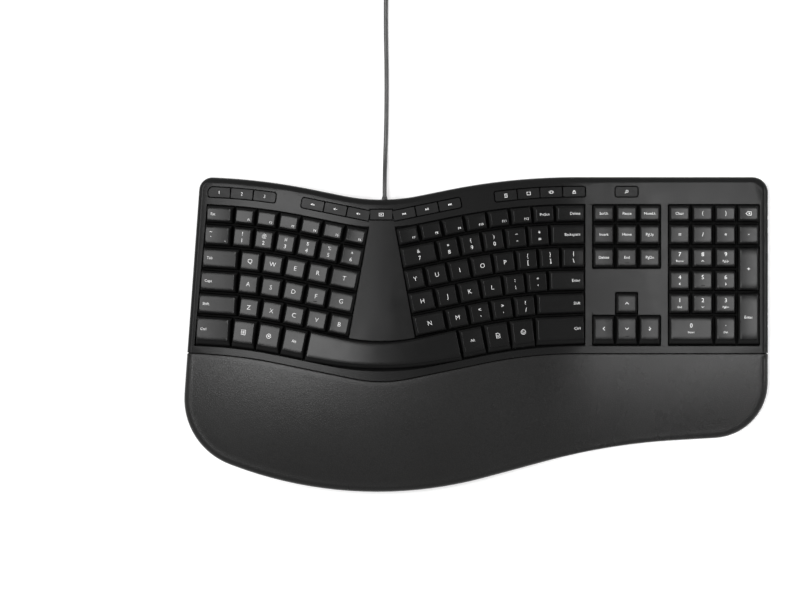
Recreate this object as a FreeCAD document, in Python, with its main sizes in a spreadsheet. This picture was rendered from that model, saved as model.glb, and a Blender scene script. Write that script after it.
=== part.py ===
# Ergonomic keyboard: a wired, domed keyboard in two halves with a padded palm rest.
# Millimetres, +X to the user's right, +Y away from the user, +Z up.
# The origin is on the desk, under the middle of the keyboard's own outline.

import FreeCAD, Part
import Sketcher
import math
import os

from FreeCAD import Matrix, Placement, Rotation, Vector

doc = FreeCAD.newDocument("ergonomic_keyboard")


# Driving dimensions

DIMENSIONS = [
    ("Home row, as the tangent lines of a gull-wing curve seen from above", None),
    ("apex_x", -78.7),
    ("apex_y", 20.8),
    ("wing_angle", 11.54),
    ("left_end_angle", 3.0),
    ("left_wing", 109.3),
    ("right_wing", 120.2),
    ("left_knee_radius", 440.0),
    ("right_knee_radius", 457.0),
    ("Crown, the dome seen from the front", None),
    ("crest_height", 35.0),
    ("crown_radius", 690.0),
    ("crown_end_angle", 11.0),
    ("valley_radius", 256.0),
    ("fall_start", -10.0),
    ("fall_radius", 460.0),
    ("Outline, with the back edge and the palm rest seam beside the home row", None),
    ("side_margin", 7.05),
    ("left_lean", 4.2),
    ("left_foot_y", -50.0),
    ("back_offset", 85.9),
    ("back_apex_radius", 155.0),
    ("back_left_radius", 11.0),
    ("back_right_radius", 13.0),
    ("front_left_radius", 58.0),
    ("front_right_radius", 46.0),
    ("front_sweep_radius", 345.0),
    ("front_knee_radius", 520.0),
    ("front_y", -130.7),
    ("front_low_x", -82.0),
    ("front_left_angle", 20.5),
    ("front_rise_angle", 14.8),
    ("front_right_angle", 3.3),
    ("front_right_y", -83.7),
    ("seam_offset", -60.5),
    ("seam_apex_radius", 110.0),
    ("seam_gap", 0.4),
    ("Casings", None),
    ("foot_height", 2.0),
    ("floor_thickness", 2.0),
    ("floor_edge_radius", 1.2),
    ("rim_height", 6.0),
    ("parting_gap", 0.2),
    ("case_wall", 2.2),
    ("edge_radius", 5.0),
    ("bottom_step", 0.7),
    ("pad_thickness", 3.5),
    ("pad_seat_gap", 0.3),
    ("Key caps", None),
    ("key_pitch", 19.05),
    ("cap_gap", 1.45),
    ("cap_taper", 1.7),
    ("cap_taper_deep", 1.9),
    ("cap_rise", 6.0),
    ("cap_below", 1.0),
    ("cap_edge", 0.5),
    ("cap_wall", 1.2),
    ("cap_roof", 1.5),
    ("cap_travel", 2.3),
    ("lamp_radius", 0.7),
    ("lamp_gap", 0.05),
    ("lamp_inset", 2.0),
    ("letter_depth", 13.75),
    ("function_depth", 10.5),
    ("modifier_depth", 17.6),
    ("front_skirt", 5.0),
    ("well_gap", 0.9),
    ("well_rim", 1.6),
    ("panel_overlap", 3.0),
    ("well_corner", 1.4),
    ("Key widths across the top face", None),
    ("escape_width", 19.5),
    ("left_number_width", 13.35),
    ("left_function_width", 13.75),
    ("tab_width", 27.5),
    ("caps_lock_width", 27.7),
    ("left_shift_width", 30.0),
    ("left_ctrl_width", 26.4),
    ("modifier_width", 16.4),
    ("delete_width", 20.9),
    ("backspace_width", 25.3),
    ("backslash_width", 16.1),
    ("enter_width", 26.7),
    ("right_shift_width", 37.0),
    ("right_ctrl_width", 37.9),
    ("Key blocks, along the home row from its apex, and across the flat blocks", None),
    ("left_block_start", -152.6),
    ("left_block_lean", 0.038),
    ("left_block_end", -21.9),
    ("right_block_start", 23.1),
    ("inner_lean", 0.022),
    ("right_block_edge", 90.7),
    ("block_gap", 5.35),
    ("space_apex_radius", 150.0),
    ("space_front_radius", 220.0),
    ("space_stem_share", 0.62),
    ("Shortcut keys along the back", None),
    ("hot_offset", 73.6),
    ("hot_width", 18.15),
    ("hot_depth", 7.9),
    ("hot_pitch", 19.25),
    ("hot_rise", 0.6),
    ("hot_below", 2.4),
    ("hot_groove", 1.0),
    ("hot_groove_depth", 8.0),
    ("hot_overlap", 0.1),
    ("hot_corner", 0.6),
    ("hot_end_corner", 1.5),
    ("hot_first_corner", 3.6),
    ("hot_travel", 0.8),
    ("left_hot_start", -140.5),
    ("right_hot_start", 113.5),
    ("Key switch layers, down from the crown", None),
    ("frame_level", 4.6),
    ("frame_thickness", 1.5),
    ("stem_wide", 4.6),
    ("stem_deep", 5.6),
    ("stem_reach", 7.2),
    ("stem_clearance", 0.35),
    ("dome_gap", 0.3),
    ("dome_level", 10.6),
    ("dome_base_radius", 5.0),
    ("dome_top_radius", 3.0),
    ("sheet_thickness", 0.5),
    ("layer_gap", 0.05),
    ("membrane_thickness", 0.4),
    ("plate_thickness", 0.8),
    ("Screws and their posts", None),
    ("post_radius", 3.2),
    ("post_clearance", 0.6),
    ("pillar_radius", 2.5),
    ("pillar_clearance", 0.6),
    ("screw_radius", 1.2),
    ("screw_pilot_gap", 0.05),
    ("screw_pass_gap", 0.2),
    ("screw_length", 7.5),
    ("screw_head_radius", 2.4),
    ("screw_head_height", 1.2),
    ("screw_head_gap", 0.4),
    ("screw_end_gap", 0.5),
    ("screw_recess", 1.4),
    ("Feet", None),
    ("foot_width", 34.0),
    ("foot_depth", 7.0),
    ("foot_recess", 0.5),
    ("foot_gap", 0.2),
    ("foot_inset", 37.5),
    ("leg_width", 34.0),
    ("leg_length", 30.0),
    ("leg_thickness", 3.0),
    ("leg_pin_radius", 1.0),
    ("leg_pin_reach", 1.8),
    ("leg_clearance", 0.4),
    ("leg_pocket_wall", 2.0),
    ("leg_pocket_roof", 1.5),
    ("leg_pin_hole_reach", 1.6),
    ("leg_pin_gap", 0.06),
    ("leg_hinge_y", -42.0),
    ("left_leg_x", -160.0),
    ("right_leg_x", 150.0),
    ("Controller board", None),
    ("board_width", 64.0),
    ("board_depth", 24.0),
    ("board_thickness", 1.6),
    ("board_level", 9.0),
    ("board_y", 84.0),
    ("board_hole_radius", 0.8),
    ("board_hole_inset", 4.0),
    ("board_stud_radius", 2.2),
    ("Cord", None),
    ("cord_diameter", 3.5),
    ("cord_lift", 0.05),
    ("cord_exit_x", -76.0),
    ("cord_exit_level", 10.0),
    ("boot_radius", 2.6),
    ("boot_flange_radius", 3.8),
    ("boot_neck_reach", 0.5),
    ("boot_reach", 3.0),
    ("boot_slack", 0.2),
    ("boot_flange_thickness", 1.5),
    ("coil_mean_radius", 20.0),
    ("coil_loops", 3.0),
    ("coil_layers", 4.0),
    ("coil_pitch", 4.6),
    ("coil_layer_step", 4.1),
    ("coil_sides", 6.0),
    ("coil_bends", 24.0),
    ("coil_y", 312.0),
    ("tie_thickness", 0.7),
    ("tie_width", 9.0),
    ("tie_gap", 0.2),
    ("tie_inner_room", 1.3),
    ("tie_outer_room", 0.5),
    ("plug_width", 12.0),
    ("plug_height", 4.5),
    ("plug_length", 12.0),
    ("plug_skin", 0.4),
    ("plug_block", 1.5),
    ("grip_width", 15.6),
    ("grip_height", 8.0),
    ("grip_length", 21.0),
    ("grip_rounding", 1.8),
]

sheet = doc.addObject("Spreadsheet::Sheet", "Sizes")
for line, (alias, value) in enumerate(DIMENSIONS, 1):
    sheet.set("A%d" % line, alias)
    if value is not None:
        sheet.set("B%d" % line, str(value))
        sheet.setAlias("B%d" % line, alias)
doc.recompute()


def size(alias):
    return float(sheet.get(alias))


APEX_X = size("apex_x")
WALL = size("case_wall")
RIM = size("rim_height")
FAR = 60.0
PITCH = size("key_pitch")
TAPER = size("cap_taper")
TAPER_DEEP = size("cap_taper_deep")
GAP = size("cap_gap")
RISE = size("cap_rise")
LETTER = size("letter_depth")
UNIT = PITCH - GAP - 2 * TAPER
MODIFIER = size("modifier_width")
NUMBER = size("left_number_width")
FUNCTION = size("left_function_width")
WELL_GAP = size("well_gap")

# the flat blocks stand side by side, and the case ends a margin past the last one
WELL_REACH = UNIT / 2 + TAPER + WELL_GAP
ARROWS_X = size("right_block_edge") + size("block_gap") + WELL_REACH + PITCH
NUMPAD_X = ARROWS_X + PITCH + 2 * WELL_REACH + size("block_gap")
HALF_WIDTH = NUMPAD_X + 3 * PITCH + WELL_REACH + size("side_margin")


# Plane curves made of straight runs and tangent arcs

def direction(degrees):
    turn = math.radians(degrees)
    return Vector(math.cos(turn), math.sin(turn), 0)


def meet(point_a, along_a, point_b, along_b):
    # where two lines in the plane cross
    cross = along_a.x * along_b.y - along_a.y * along_b.x
    gap = point_b - point_a
    reach = (gap.x * along_b.y - gap.y * along_b.x) / cross
    return point_a + along_a * reach


def tangent_edges(corners, closed=True):
    # corners are (x, y, radius); a radius of 0 keeps a corner sharp
    count = len(corners)
    starts = []
    ends = []
    arcs = []
    for index, (x, y, radius) in enumerate(corners):
        here = Vector(x, y, 0)
        if radius <= 0 or (not closed and index in (0, count - 1)):
            starts.append(here)
            ends.append(here)
            arcs.append(None)
            continue
        before = Vector(*corners[index - 1][:2], 0)
        after = Vector(*corners[(index + 1) % count][:2], 0)
        back = (before - here).normalize()
        ahead = (after - here).normalize()
        half = back.getAngle(ahead) / 2
        reach = radius / math.tan(half)
        middle = (back + ahead).normalize()
        centre = here + middle * (radius / math.sin(half))
        starts.append(here + back * reach)
        ends.append(here + ahead * reach)
        arcs.append(Part.Arc(starts[-1], centre - middle * radius, ends[-1]).toShape())
    edges = []
    for index in range(count):
        if arcs[index]:
            edges.append(arcs[index])
        if index == count - 1 and not closed:
            break
        following = starts[(index + 1) % count]
        if (following - ends[index]).Length > 1e-6:
            edges.append(Part.LineSegment(ends[index], following).toShape())
    return edges


def prism(corners, bottom, top):
    wire = Part.Wire(tangent_edges(corners))
    face = Part.Face(wire)
    face.translate(Vector(0, 0, bottom))
    return face.extrude(Vector(0, 0, top - bottom))


def inset(corners, step):
    # the same closed outline, anticlockwise, with each side moved inwards by step
    count = len(corners)
    moved = []
    for index, (x, y, radius) in enumerate(corners):
        here = Vector(x, y, 0)
        before = Vector(*corners[index - 1][:2], 0)
        after = Vector(*corners[(index + 1) % count][:2], 0)
        along_a = (here - before).normalize()
        along_b = (after - here).normalize()
        inward_a = Vector(-along_a.y, along_a.x, 0) * step
        inward_b = Vector(-along_b.y, along_b.x, 0) * step
        corner = meet(here + inward_a, along_a, here + inward_b, along_b)
        turn = along_a.x * along_b.y - along_a.y * along_b.x
        if radius > 0:
            radius = radius - step if turn > 0 else radius + step
        moved.append((corner.x, corner.y, max(radius, 0.0)))
    return moved


# The gull-wing curve of the home row, and its parallels

WING = size("wing_angle")
HEADINGS = [-size("left_end_angle"), -WING, WING, 0.0]
APEX = Vector(APEX_X, size("apex_y"), 0)
LEFT_KNEE = APEX - direction(-WING) * size("left_wing")
RIGHT_KNEE = APEX + direction(WING) * size("right_wing")
ON_LINE = [LEFT_KNEE, LEFT_KNEE, RIGHT_KNEE, RIGHT_KNEE]
HOME_Y = RIGHT_KNEE.y


def wave(offset, apex_radius, left, right):
    # corners, from left to right, of the parallel that runs offset behind the home row
    lines = []
    for heading, point in zip(HEADINGS, ON_LINE):
        along = direction(heading)
        lines.append((point + Vector(-along.y, along.x, 0) * offset, along))
    knee_a = meet(*lines[0], *lines[1])
    apex = meet(*lines[1], *lines[2])
    knee_b = meet(*lines[2], *lines[3])
    start = meet(*lines[0], Vector(left, 0, 0), Vector(0, 1, 0))
    return [
        (start.x, start.y, 0),
        (knee_a.x, knee_a.y, size("left_knee_radius") + offset),
        (apex.x, apex.y, apex_radius),
        (knee_b.x, knee_b.y, size("right_knee_radius") + offset),
        (right, knee_b.y, 0),
    ]


def band(low, low_radius, high, high_radius, bottom, top, left=-FAR * 5, right=FAR * 5):
    # a prism between two parallels of the home row
    front = wave(low, low_radius, left, right)
    back = wave(high, high_radius, left, right)
    return prism(front + back[::-1], bottom, top)


def along_wave(place, offset):
    # a point of a parallel and its heading, at a place along the home row
    knee = "right_knee_radius" if place > 0 else "left_knee_radius"
    end_heading = 0.0 if place > 0 else size("left_end_angle")
    radius = size(knee)
    turn = math.radians(WING - end_heading)
    wing = size("right_wing") if place > 0 else size("left_wing")
    side = 1 if place > 0 else -1
    straight = wing - radius * math.tan(turn / 2)
    past = abs(place) - straight
    if past <= 0:
        heading = WING
        point = APEX + direction(side * WING) * place
    else:
        knee_start = APEX + direction(side * WING) * (side * straight)
        angle = min(past / radius, turn)
        heading = WING - math.degrees(angle)
        wing_lean = math.radians(WING)
        centre = knee_start + Vector(side * math.sin(wing_lean), -math.cos(wing_lean), 0) * radius
        lean = math.radians(heading)
        point = centre + Vector(-side * math.sin(lean), math.cos(lean), 0) * radius
        beyond = past - radius * turn
        if beyond > 0:
            point += direction(side * heading) * (side * beyond)
    heading = side * heading
    ahead = direction(heading)
    return point + Vector(-ahead.y, ahead.x, 0) * offset, heading


# The crown: a dome over the two halves that flattens out under the number pad

CROWN = size("crown_radius")
VALLEY = size("valley_radius")
END_ANGLE = math.radians(size("crown_end_angle"))
CREST = size("crest_height")
SHOULDER_X = APEX_X + CROWN * math.sin(END_ANGLE)
FLAT_X = SHOULDER_X + VALLEY * math.sin(END_ANGLE)
FLAT_LEVEL = CREST - (CROWN + VALLEY) * (1 - math.cos(END_ANGLE))


def crown_height(x):
    if x >= FLAT_X:
        return FLAT_LEVEL
    if x >= SHOULDER_X:
        return FLAT_LEVEL + VALLEY - math.sqrt(VALLEY ** 2 - (FLAT_X - x) ** 2)
    return CREST - CROWN + math.sqrt(CROWN ** 2 - (x - APEX_X) ** 2)


def crown_slope(x):
    # rise of the crown towards +X, in radians
    if x >= FLAT_X:
        return 0.0
    if x >= SHOULDER_X:
        return -math.asin((FLAT_X - x) / VALLEY)
    return -math.asin((x - APEX_X) / CROWN)


def fall(y):
    reach = max(size("fall_start") - y, 0.0)
    radius = size("fall_radius")
    return radius - math.sqrt(radius ** 2 - reach ** 2)


def under_surface(drop):
    # everything under the outer surface, lowered by drop
    columns = 25
    lines = 15
    wide = HALF_WIDTH + 14.0
    deep = 145.0
    points = []
    for i in range(columns):
        x = -wide + 2 * wide * i / (columns - 1)
        points.append([])
        for j in range(lines):
            y = -deep + 2 * deep * j / (lines - 1)
            points[-1].append(Vector(x, y, crown_height(x) - fall(y) - drop))
    surface = Part.BSplineSurface()
    surface.interpolate(points)
    return surface.toShape().extrude(Vector(0, 0, -FAR))


def crown_edges(drop, left, right):
    # the crown's line seen from the front, from left to right
    def at(x):
        return Vector(x, 0, crown_height(x) - drop)
    return [
        Part.Arc(at(left), at((left + SHOULDER_X) / 2), at(SHOULDER_X)).toShape(),
        Part.Arc(at(SHOULDER_X), at((SHOULDER_X + FLAT_X) / 2), at(FLAT_X)).toShape(),
        Part.LineSegment(at(FLAT_X), at(right)).toShape(),
    ]


def crown_layer(top_drop, bottom_drop):
    # a curved sheet that follows the crown, between two depths below it
    wide = HALF_WIDTH + 10.0
    upper = crown_edges(top_drop, -wide, wide)
    lower = crown_edges(bottom_drop, -wide, wide)
    ends = []
    for x in (-wide, wide):
        high = Vector(x, 0, crown_height(x) - top_drop)
        low = Vector(x, 0, crown_height(x) - bottom_drop)
        ends.append(Part.LineSegment(high, low).toShape())
    face = Part.Face(Part.Wire(Part.__sortEdges__(upper + lower + ends)))
    face.translate(Vector(0, -150, 0))
    return face.extrude(Vector(0, 300, 0))


# Outline of the whole keyboard, anticlockwise from the back right corner

def outline():
    right = HALF_WIDTH
    back = wave(size("back_offset"), size("back_apex_radius"), -right, right)[::-1]
    lean = direction(90 - size("left_lean"))
    left_foot = Vector(-right, size("left_foot_y"), 0)
    back_line = Vector(*back[4][:2], 0)
    corner = meet(left_foot, lean, back_line, direction(HEADINGS[0]))
    front_y = size("front_y")
    sweep = size("front_sweep_radius")
    first = size("front_left_angle")
    rise = size("front_rise_angle")
    last = direction(size("front_right_angle"))
    low_x = size("front_low_x")
    left_turn = Vector(low_x - sweep * math.tan(math.radians(first / 2)), front_y, 0)
    right_turn = Vector(low_x + sweep * math.tan(math.radians(rise / 2)), front_y, 0)
    left_corner = meet(left_foot, lean, left_turn, direction(-first))
    right_corner = Vector(right, size("front_right_y"), 0)
    knee = meet(right_turn, direction(rise), right_corner, last)
    return [
        (right, back[0][1], size("back_right_radius")),
        back[1],
        back[2],
        back[3],
        (corner.x, corner.y, size("back_left_radius")),
        (left_corner.x, left_corner.y, size("front_left_radius")),
        (left_turn.x, left_turn.y, sweep),
        (right_turn.x, right_turn.y, sweep),
        (knee.x, knee.y, size("front_knee_radius")),
        (right_corner.x, right_corner.y, size("front_right_radius")),
    ]


OUTLINE = outline()


def upper_shell():
    # the whole upper form with its rolled edge, before the seam parts it
    block = prism(OUTLINE, RIM, FAR).common(under_surface(0))
    top_edges = []
    for edge in block.Edges:
        middle = edge.valueAt((edge.FirstParameter + edge.LastParameter) / 2)
        box = edge.BoundBox
        upright = box.ZLength > 2 and box.XLength < 1e-3 and box.YLength < 1e-3
        if middle.z > RIM + 1 and not upright:
            top_edges.append(edge)
    return block.makeFillet(size("edge_radius"), top_edges)


# Rows of keys, by their distance behind the home row

ROW_DEPTH = {
    "function": size("function_depth"),
    "number": LETTER,
    "top": LETTER,
    "home": LETTER,
    "bottom": LETTER,
    "modifier": size("modifier_depth"),
}


def row_step(depth):
    # from the middle of a letter key to the middle of a neighbour of another depth
    return (LETTER + depth) / 2 + 2 * TAPER_DEEP + GAP


ROW_OFFSET = {
    "function": 2 * PITCH + row_step(ROW_DEPTH["function"]),
    "number": 2 * PITCH,
    "top": PITCH,
    "home": 0.0,
    "bottom": -PITCH,
    "modifier": -PITCH - row_step(ROW_DEPTH["modifier"]),
}
BACK_EDGE = ROW_OFFSET["function"] + ROW_DEPTH["function"] / 2 + TAPER_DEEP
FRONT_EDGE = ROW_OFFSET["modifier"] - ROW_DEPTH["modifier"] / 2 - size("front_skirt")
SPACE_BACK = ROW_OFFSET["modifier"] + ROW_DEPTH["modifier"] / 2 + TAPER_DEEP

# each row runs from the outer edge of its block inwards, and its last key fills what is left
LEFT_ROWS = {
    "function": [("escape_key", size("escape_width")), ("q_column_keys", FUNCTION),
                 ("w_column_keys", FUNCTION), ("e_column_keys", FUNCTION), ("r_column_keys", FUNCTION),
                 ("t_column_keys", FUNCTION), ("t_column_keys", None)],
    "number": [("accent_key", size("escape_width")), ("q_column_keys", NUMBER), ("w_column_keys", NUMBER),
               ("e_column_keys", NUMBER), ("r_column_keys", NUMBER), ("t_column_keys", NUMBER),
               ("t_column_keys", None)],
    "top": [("tab_key", size("tab_width")), ("q_column_keys", UNIT), ("w_column_keys", UNIT),
            ("e_column_keys", UNIT), ("r_column_keys", UNIT), ("t_column_keys", None)],
    "home": [("caps_lock_key", size("caps_lock_width")), ("q_column_keys", UNIT), ("w_column_keys", UNIT),
             ("e_column_keys", UNIT), ("r_column_keys", UNIT), ("t_column_keys", None)],
    "bottom": [("left_shift_key", size("left_shift_width")), ("q_column_keys", UNIT),
               ("w_column_keys", UNIT), ("e_column_keys", UNIT), ("r_column_keys", UNIT),
               ("t_column_keys", None)],
    "modifier": [("left_ctrl_key", size("left_ctrl_width")), ("left_modifier_keys", MODIFIER),
                 ("left_modifier_keys", MODIFIER), ("left_modifier_keys", MODIFIER)],
}
RIGHT_ROWS = {
    "function": [("end_column_keys", size("delete_width")), ("end_column_keys", UNIT),
                 ("bracket_column_keys", UNIT), ("p_column_keys", UNIT), ("o_column_keys", UNIT),
                 ("i_column_keys", UNIT), ("u_column_keys", UNIT), ("y_column_keys", None)],
    "number": [("backspace_key", size("backspace_width")), ("bracket_column_keys", UNIT),
               ("p_column_keys", UNIT), ("o_column_keys", UNIT), ("i_column_keys", UNIT),
               ("u_column_keys", UNIT), ("y_column_keys", None)],
    "top": [("end_column_keys", size("backslash_width")), ("end_column_keys", UNIT),
            ("bracket_column_keys", UNIT), ("p_column_keys", UNIT), ("o_column_keys", UNIT),
            ("i_column_keys", UNIT), ("u_column_keys", UNIT), ("y_column_keys", None)],
    "home": [("enter_key", size("enter_width")), ("bracket_column_keys", UNIT), ("p_column_keys", UNIT),
             ("o_column_keys", UNIT), ("i_column_keys", UNIT), ("u_column_keys", UNIT),
             ("y_column_keys", None)],
    "bottom": [("right_shift_key", size("right_shift_width")), ("p_column_keys", UNIT),
               ("o_column_keys", UNIT), ("i_column_keys", UNIT), ("u_column_keys", UNIT),
               ("y_column_keys", None)],
    "modifier": [("right_ctrl_key", size("right_ctrl_width")), ("right_modifier_keys", MODIFIER),
                 ("right_modifier_keys", MODIFIER), ("right_modifier_keys", MODIFIER)],
}


def rim_at(place, offset):
    point, heading = along_wave(place, offset)
    return point


def left_edge(offset):
    return size("left_block_start") + size("left_block_lean") * offset


def left_end(offset):
    return size("left_block_end") - size("inner_lean") * offset


def right_start(offset):
    return size("right_block_start") + size("inner_lean") * offset


def right_edge(offset):
    # the place along the home row that lies at the well's straight right side
    point, heading = along_wave(size("right_wing") * 1.4, offset)
    return size("right_wing") * 1.4 - (point.x - size("right_block_edge"))


def run_to(place, offset):
    # the length of a parallel from its bend to a place on the home row
    point, heading = along_wave(place, offset)
    turned = math.radians(WING - abs(heading))
    side = 1 if place > 0 else -1
    return place + side * offset * turned


def level_share(place_a, place_b, offset):
    point, heading = along_wave((place_a + place_b) / 2, offset)
    return math.cos(crown_slope(point.x))


def advance(place, step, offset):
    # walk a length along a row, on the crown's slope, from a place on the home row
    end = place + step
    for attempt in range(8):
        wanted = run_to(place, offset) + step * level_share(place, end, offset)
        end += wanted - run_to(end, offset)
    return end


def length_between(place_a, place_b, offset):
    run = abs(run_to(place_b, offset) - run_to(place_a, offset))
    return run / level_share(place_a, place_b, offset)


def laid_row(keys, row, start, end, side):
    # (node, place, width) of each key of a row, with side +1 from the left and -1 from the right
    offset = ROW_OFFSET[row]
    edge = start(offset) + side * WELL_GAP
    laid = []
    for node, width in keys:
        if width is None:
            width = length_between(edge, end(offset) - side * WELL_GAP, offset) - 2 * TAPER
        base = width + 2 * TAPER
        place = advance(edge, side * base / 2, offset)
        laid.append((node, place, width))
        edge = advance(edge, side * (base + GAP), offset)
    return laid, edge


def on_crown(x, y, heading=0.0):
    # a frame whose z stands square to the crown and whose x runs along the row
    slope = crown_slope(x)
    up = Vector(-math.sin(slope), 0, math.cos(slope))
    across = direction(heading)
    across.z = math.tan(slope) * across.x
    across.normalize()
    depth = up.cross(across)
    frame = Matrix(
        across.x, depth.x, up.x, x,
        across.y, depth.y, up.y, y,
        across.z, depth.z, up.z, crown_height(x),
        0, 0, 0, 1)
    return Placement(frame)


# Key caps: hollow tapered shells with a stem, made at the origin

def rectangle(left, right, front, back, level):
    return [
        Vector(left, front, level),
        Vector(right, front, level),
        Vector(right, back, level),
        Vector(left, back, level),
    ]


def flat_sided(rings):
    # a solid with flat faces between rings of equal count, from the lowest to the highest
    faces = [Part.Face(Part.makePolygon(ring + ring[:1])) for ring in (rings[0], rings[-1])]
    count = len(rings[0])
    for lower, upper in zip(rings, rings[1:]):
        for index in range(count):
            after = (index + 1) % count
            side = [lower[index], lower[after], upper[after], upper[index], lower[index]]
            faces.append(Part.Face(Part.makePolygon(side)))
    shell = Part.makeShell(faces)
    shell.sewShape()
    solid = Part.makeSolid(shell)
    if solid.Volume < 0:
        solid.reverse()
    return solid


def block(left, right, front, back, bottom, top):
    return Part.makeBox(right - left, back - front, top - bottom, Vector(left, front, bottom))


def cap(width, depth, skirt):
    # skirt is how far the foot of the front face stands before the top face
    half = width / 2
    deep = depth / 2
    below = -size("cap_below")
    edge = size("cap_edge")
    shoulder = RISE - edge
    part_up = (shoulder - below) / (RISE - below)

    def ring(level, share, inner):
        # share 0 is the foot and 1 the top face
        side = half + TAPER * (1 - share) - inner
        front = deep + skirt * (1 - share) - inner
        back = deep + TAPER_DEEP * (1 - share) - inner
        return rectangle(-side, side, -front, back, level)

    outer = flat_sided([ring(below, 0, 0), ring(shoulder, part_up, 0), ring(RISE, 1, edge)])
    wall = size("cap_wall")
    roof = RISE - size("cap_roof")
    inner = flat_sided([ring(below, 0, wall), ring(roof, 0.85, wall)])
    stem_half = size("stem_wide") / 2
    stem_deep = size("stem_deep") / 2
    stem = block(-stem_half, stem_half, -stem_deep, stem_deep, -size("stem_reach"), roof + 0.5)
    return outer.cut(inner).fuse(stem)


def stem_hole():
    room = size("stem_clearance")
    wide = size("stem_wide") / 2 + room
    deep = size("stem_deep") / 2 + room
    return block(-wide, wide, -deep, deep, -size("stem_reach") - 1, -size("frame_level") + 2)


def rubber_dome():
    # a six-sided collapsing dome that stands under a stem
    def ring(radius, level):
        return [direction(60 * index) * radius + Vector(0, 0, level) for index in range(6)]
    foot = ring(size("dome_base_radius"), -size("dome_level") - 0.1)
    head = ring(size("dome_top_radius"), -size("stem_reach") - size("dome_gap"))
    return flat_sided([foot, head])


caps = {}
stems = []


def put_cap(node, width, depth, skirt, place):
    shape = cap(width, depth, skirt)
    shape.Placement = place
    caps.setdefault(node, []).append(shape)
    stems.append(place)


for rows, start, end, side in (
    (LEFT_ROWS, left_edge, left_end, 1),
    (RIGHT_ROWS, right_edge, right_start, -1),
):
    for row, keys in rows.items():
        laid, last = laid_row(keys, row, start, end, side)
        for node, place, width in laid:
            point, heading = along_wave(place, ROW_OFFSET[row])
            skirt = size("front_skirt") if row == "modifier" else TAPER_DEEP
            put_cap(node, width, ROW_DEPTH[row], skirt, on_crown(point.x, point.y, heading))
        if row == "modifier" and side == 1:
            space_left = last
        if row == "modifier" and side == -1:
            space_right = last


# Flat blocks: navigation keys, arrows and number pad

def flat_key(node, x, row, width=UNIT, depth=None, y_shift=0.0, skirt=None):
    if skirt is None:
        skirt = size("front_skirt") if row == "modifier" else TAPER_DEEP
    y = HOME_Y + ROW_OFFSET[row] + y_shift
    put_cap(node, width, depth or ROW_DEPTH[row], skirt, on_crown(x, y))


for row in ("function", "number", "top"):
    for column in (-1, 0, 1):
        flat_key("navigation_keys", ARROWS_X + column * PITCH, row)
flat_key("up_arrow_key", ARROWS_X, "bottom")
flat_key("left_arrow_key", ARROWS_X - PITCH, "modifier")
flat_key("down_arrow_key", ARROWS_X, "modifier")
flat_key("right_arrow_key", ARROWS_X + PITCH, "modifier")
for column in range(4):
    flat_key("numpad_keys", NUMPAD_X + column * PITCH, "function")
    flat_key("numpad_keys", NUMPAD_X + column * PITCH, "number")
for row in ("top", "home", "bottom"):
    for column in range(3):
        flat_key("numpad_keys", NUMPAD_X + column * PITCH, row)
flat_key("numpad_keys", NUMPAD_X + 2 * PITCH, "modifier")
flat_key("numpad_zero_key", NUMPAD_X + PITCH / 2, "modifier", width=UNIT + PITCH)
flat_key("numpad_plus_key", NUMPAD_X + 3 * PITCH, "home", depth=LETTER + PITCH, y_shift=PITCH / 2)
enter_back = ROW_OFFSET["bottom"] + LETTER / 2
enter_front = ROW_OFFSET["modifier"] - ROW_DEPTH["modifier"] / 2
flat_key("numpad_enter_key", NUMPAD_X + 3 * PITCH, "modifier", depth=enter_back - enter_front,
         y_shift=(enter_back + enter_front) / 2 - ROW_OFFSET["modifier"])


# Space bar: a curved band across the middle, cut from two crown surfaces

def slanted_band(grow_low, grow_high, low, high, level_low, level_high, side_low, side_high):
    # a band between two parallels of the home row, with straight ends, that narrows upwards
    rings = []
    for grow, side, level in ((grow_low, side_low, level_low), (grow_high, side_high, level_high)):
        front = wave(low - grow, size("space_front_radius"), -300, 300)
        back = wave(high + grow * TAPER_DEEP / size("front_skirt"), size("space_apex_radius"), -300, 300)
        corners = []
        for run, backwards in ((front, False), (back, True)):
            offset = low - grow if run is front else high + grow * TAPER_DEEP / size("front_skirt")
            left, heading = along_wave(space_left - side, offset)
            right, heading = along_wave(space_right + side, offset)
            ends = [(left.x, left.y, 0), run[2], (right.x, right.y, 0)]
            corners += ends[::-1] if backwards else ends
        wire = Part.Wire(tangent_edges(corners))
        wire.translate(Vector(0, 0, level))
        rings.append(wire)
    return Part.makeLoft(rings, True, True)


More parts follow.
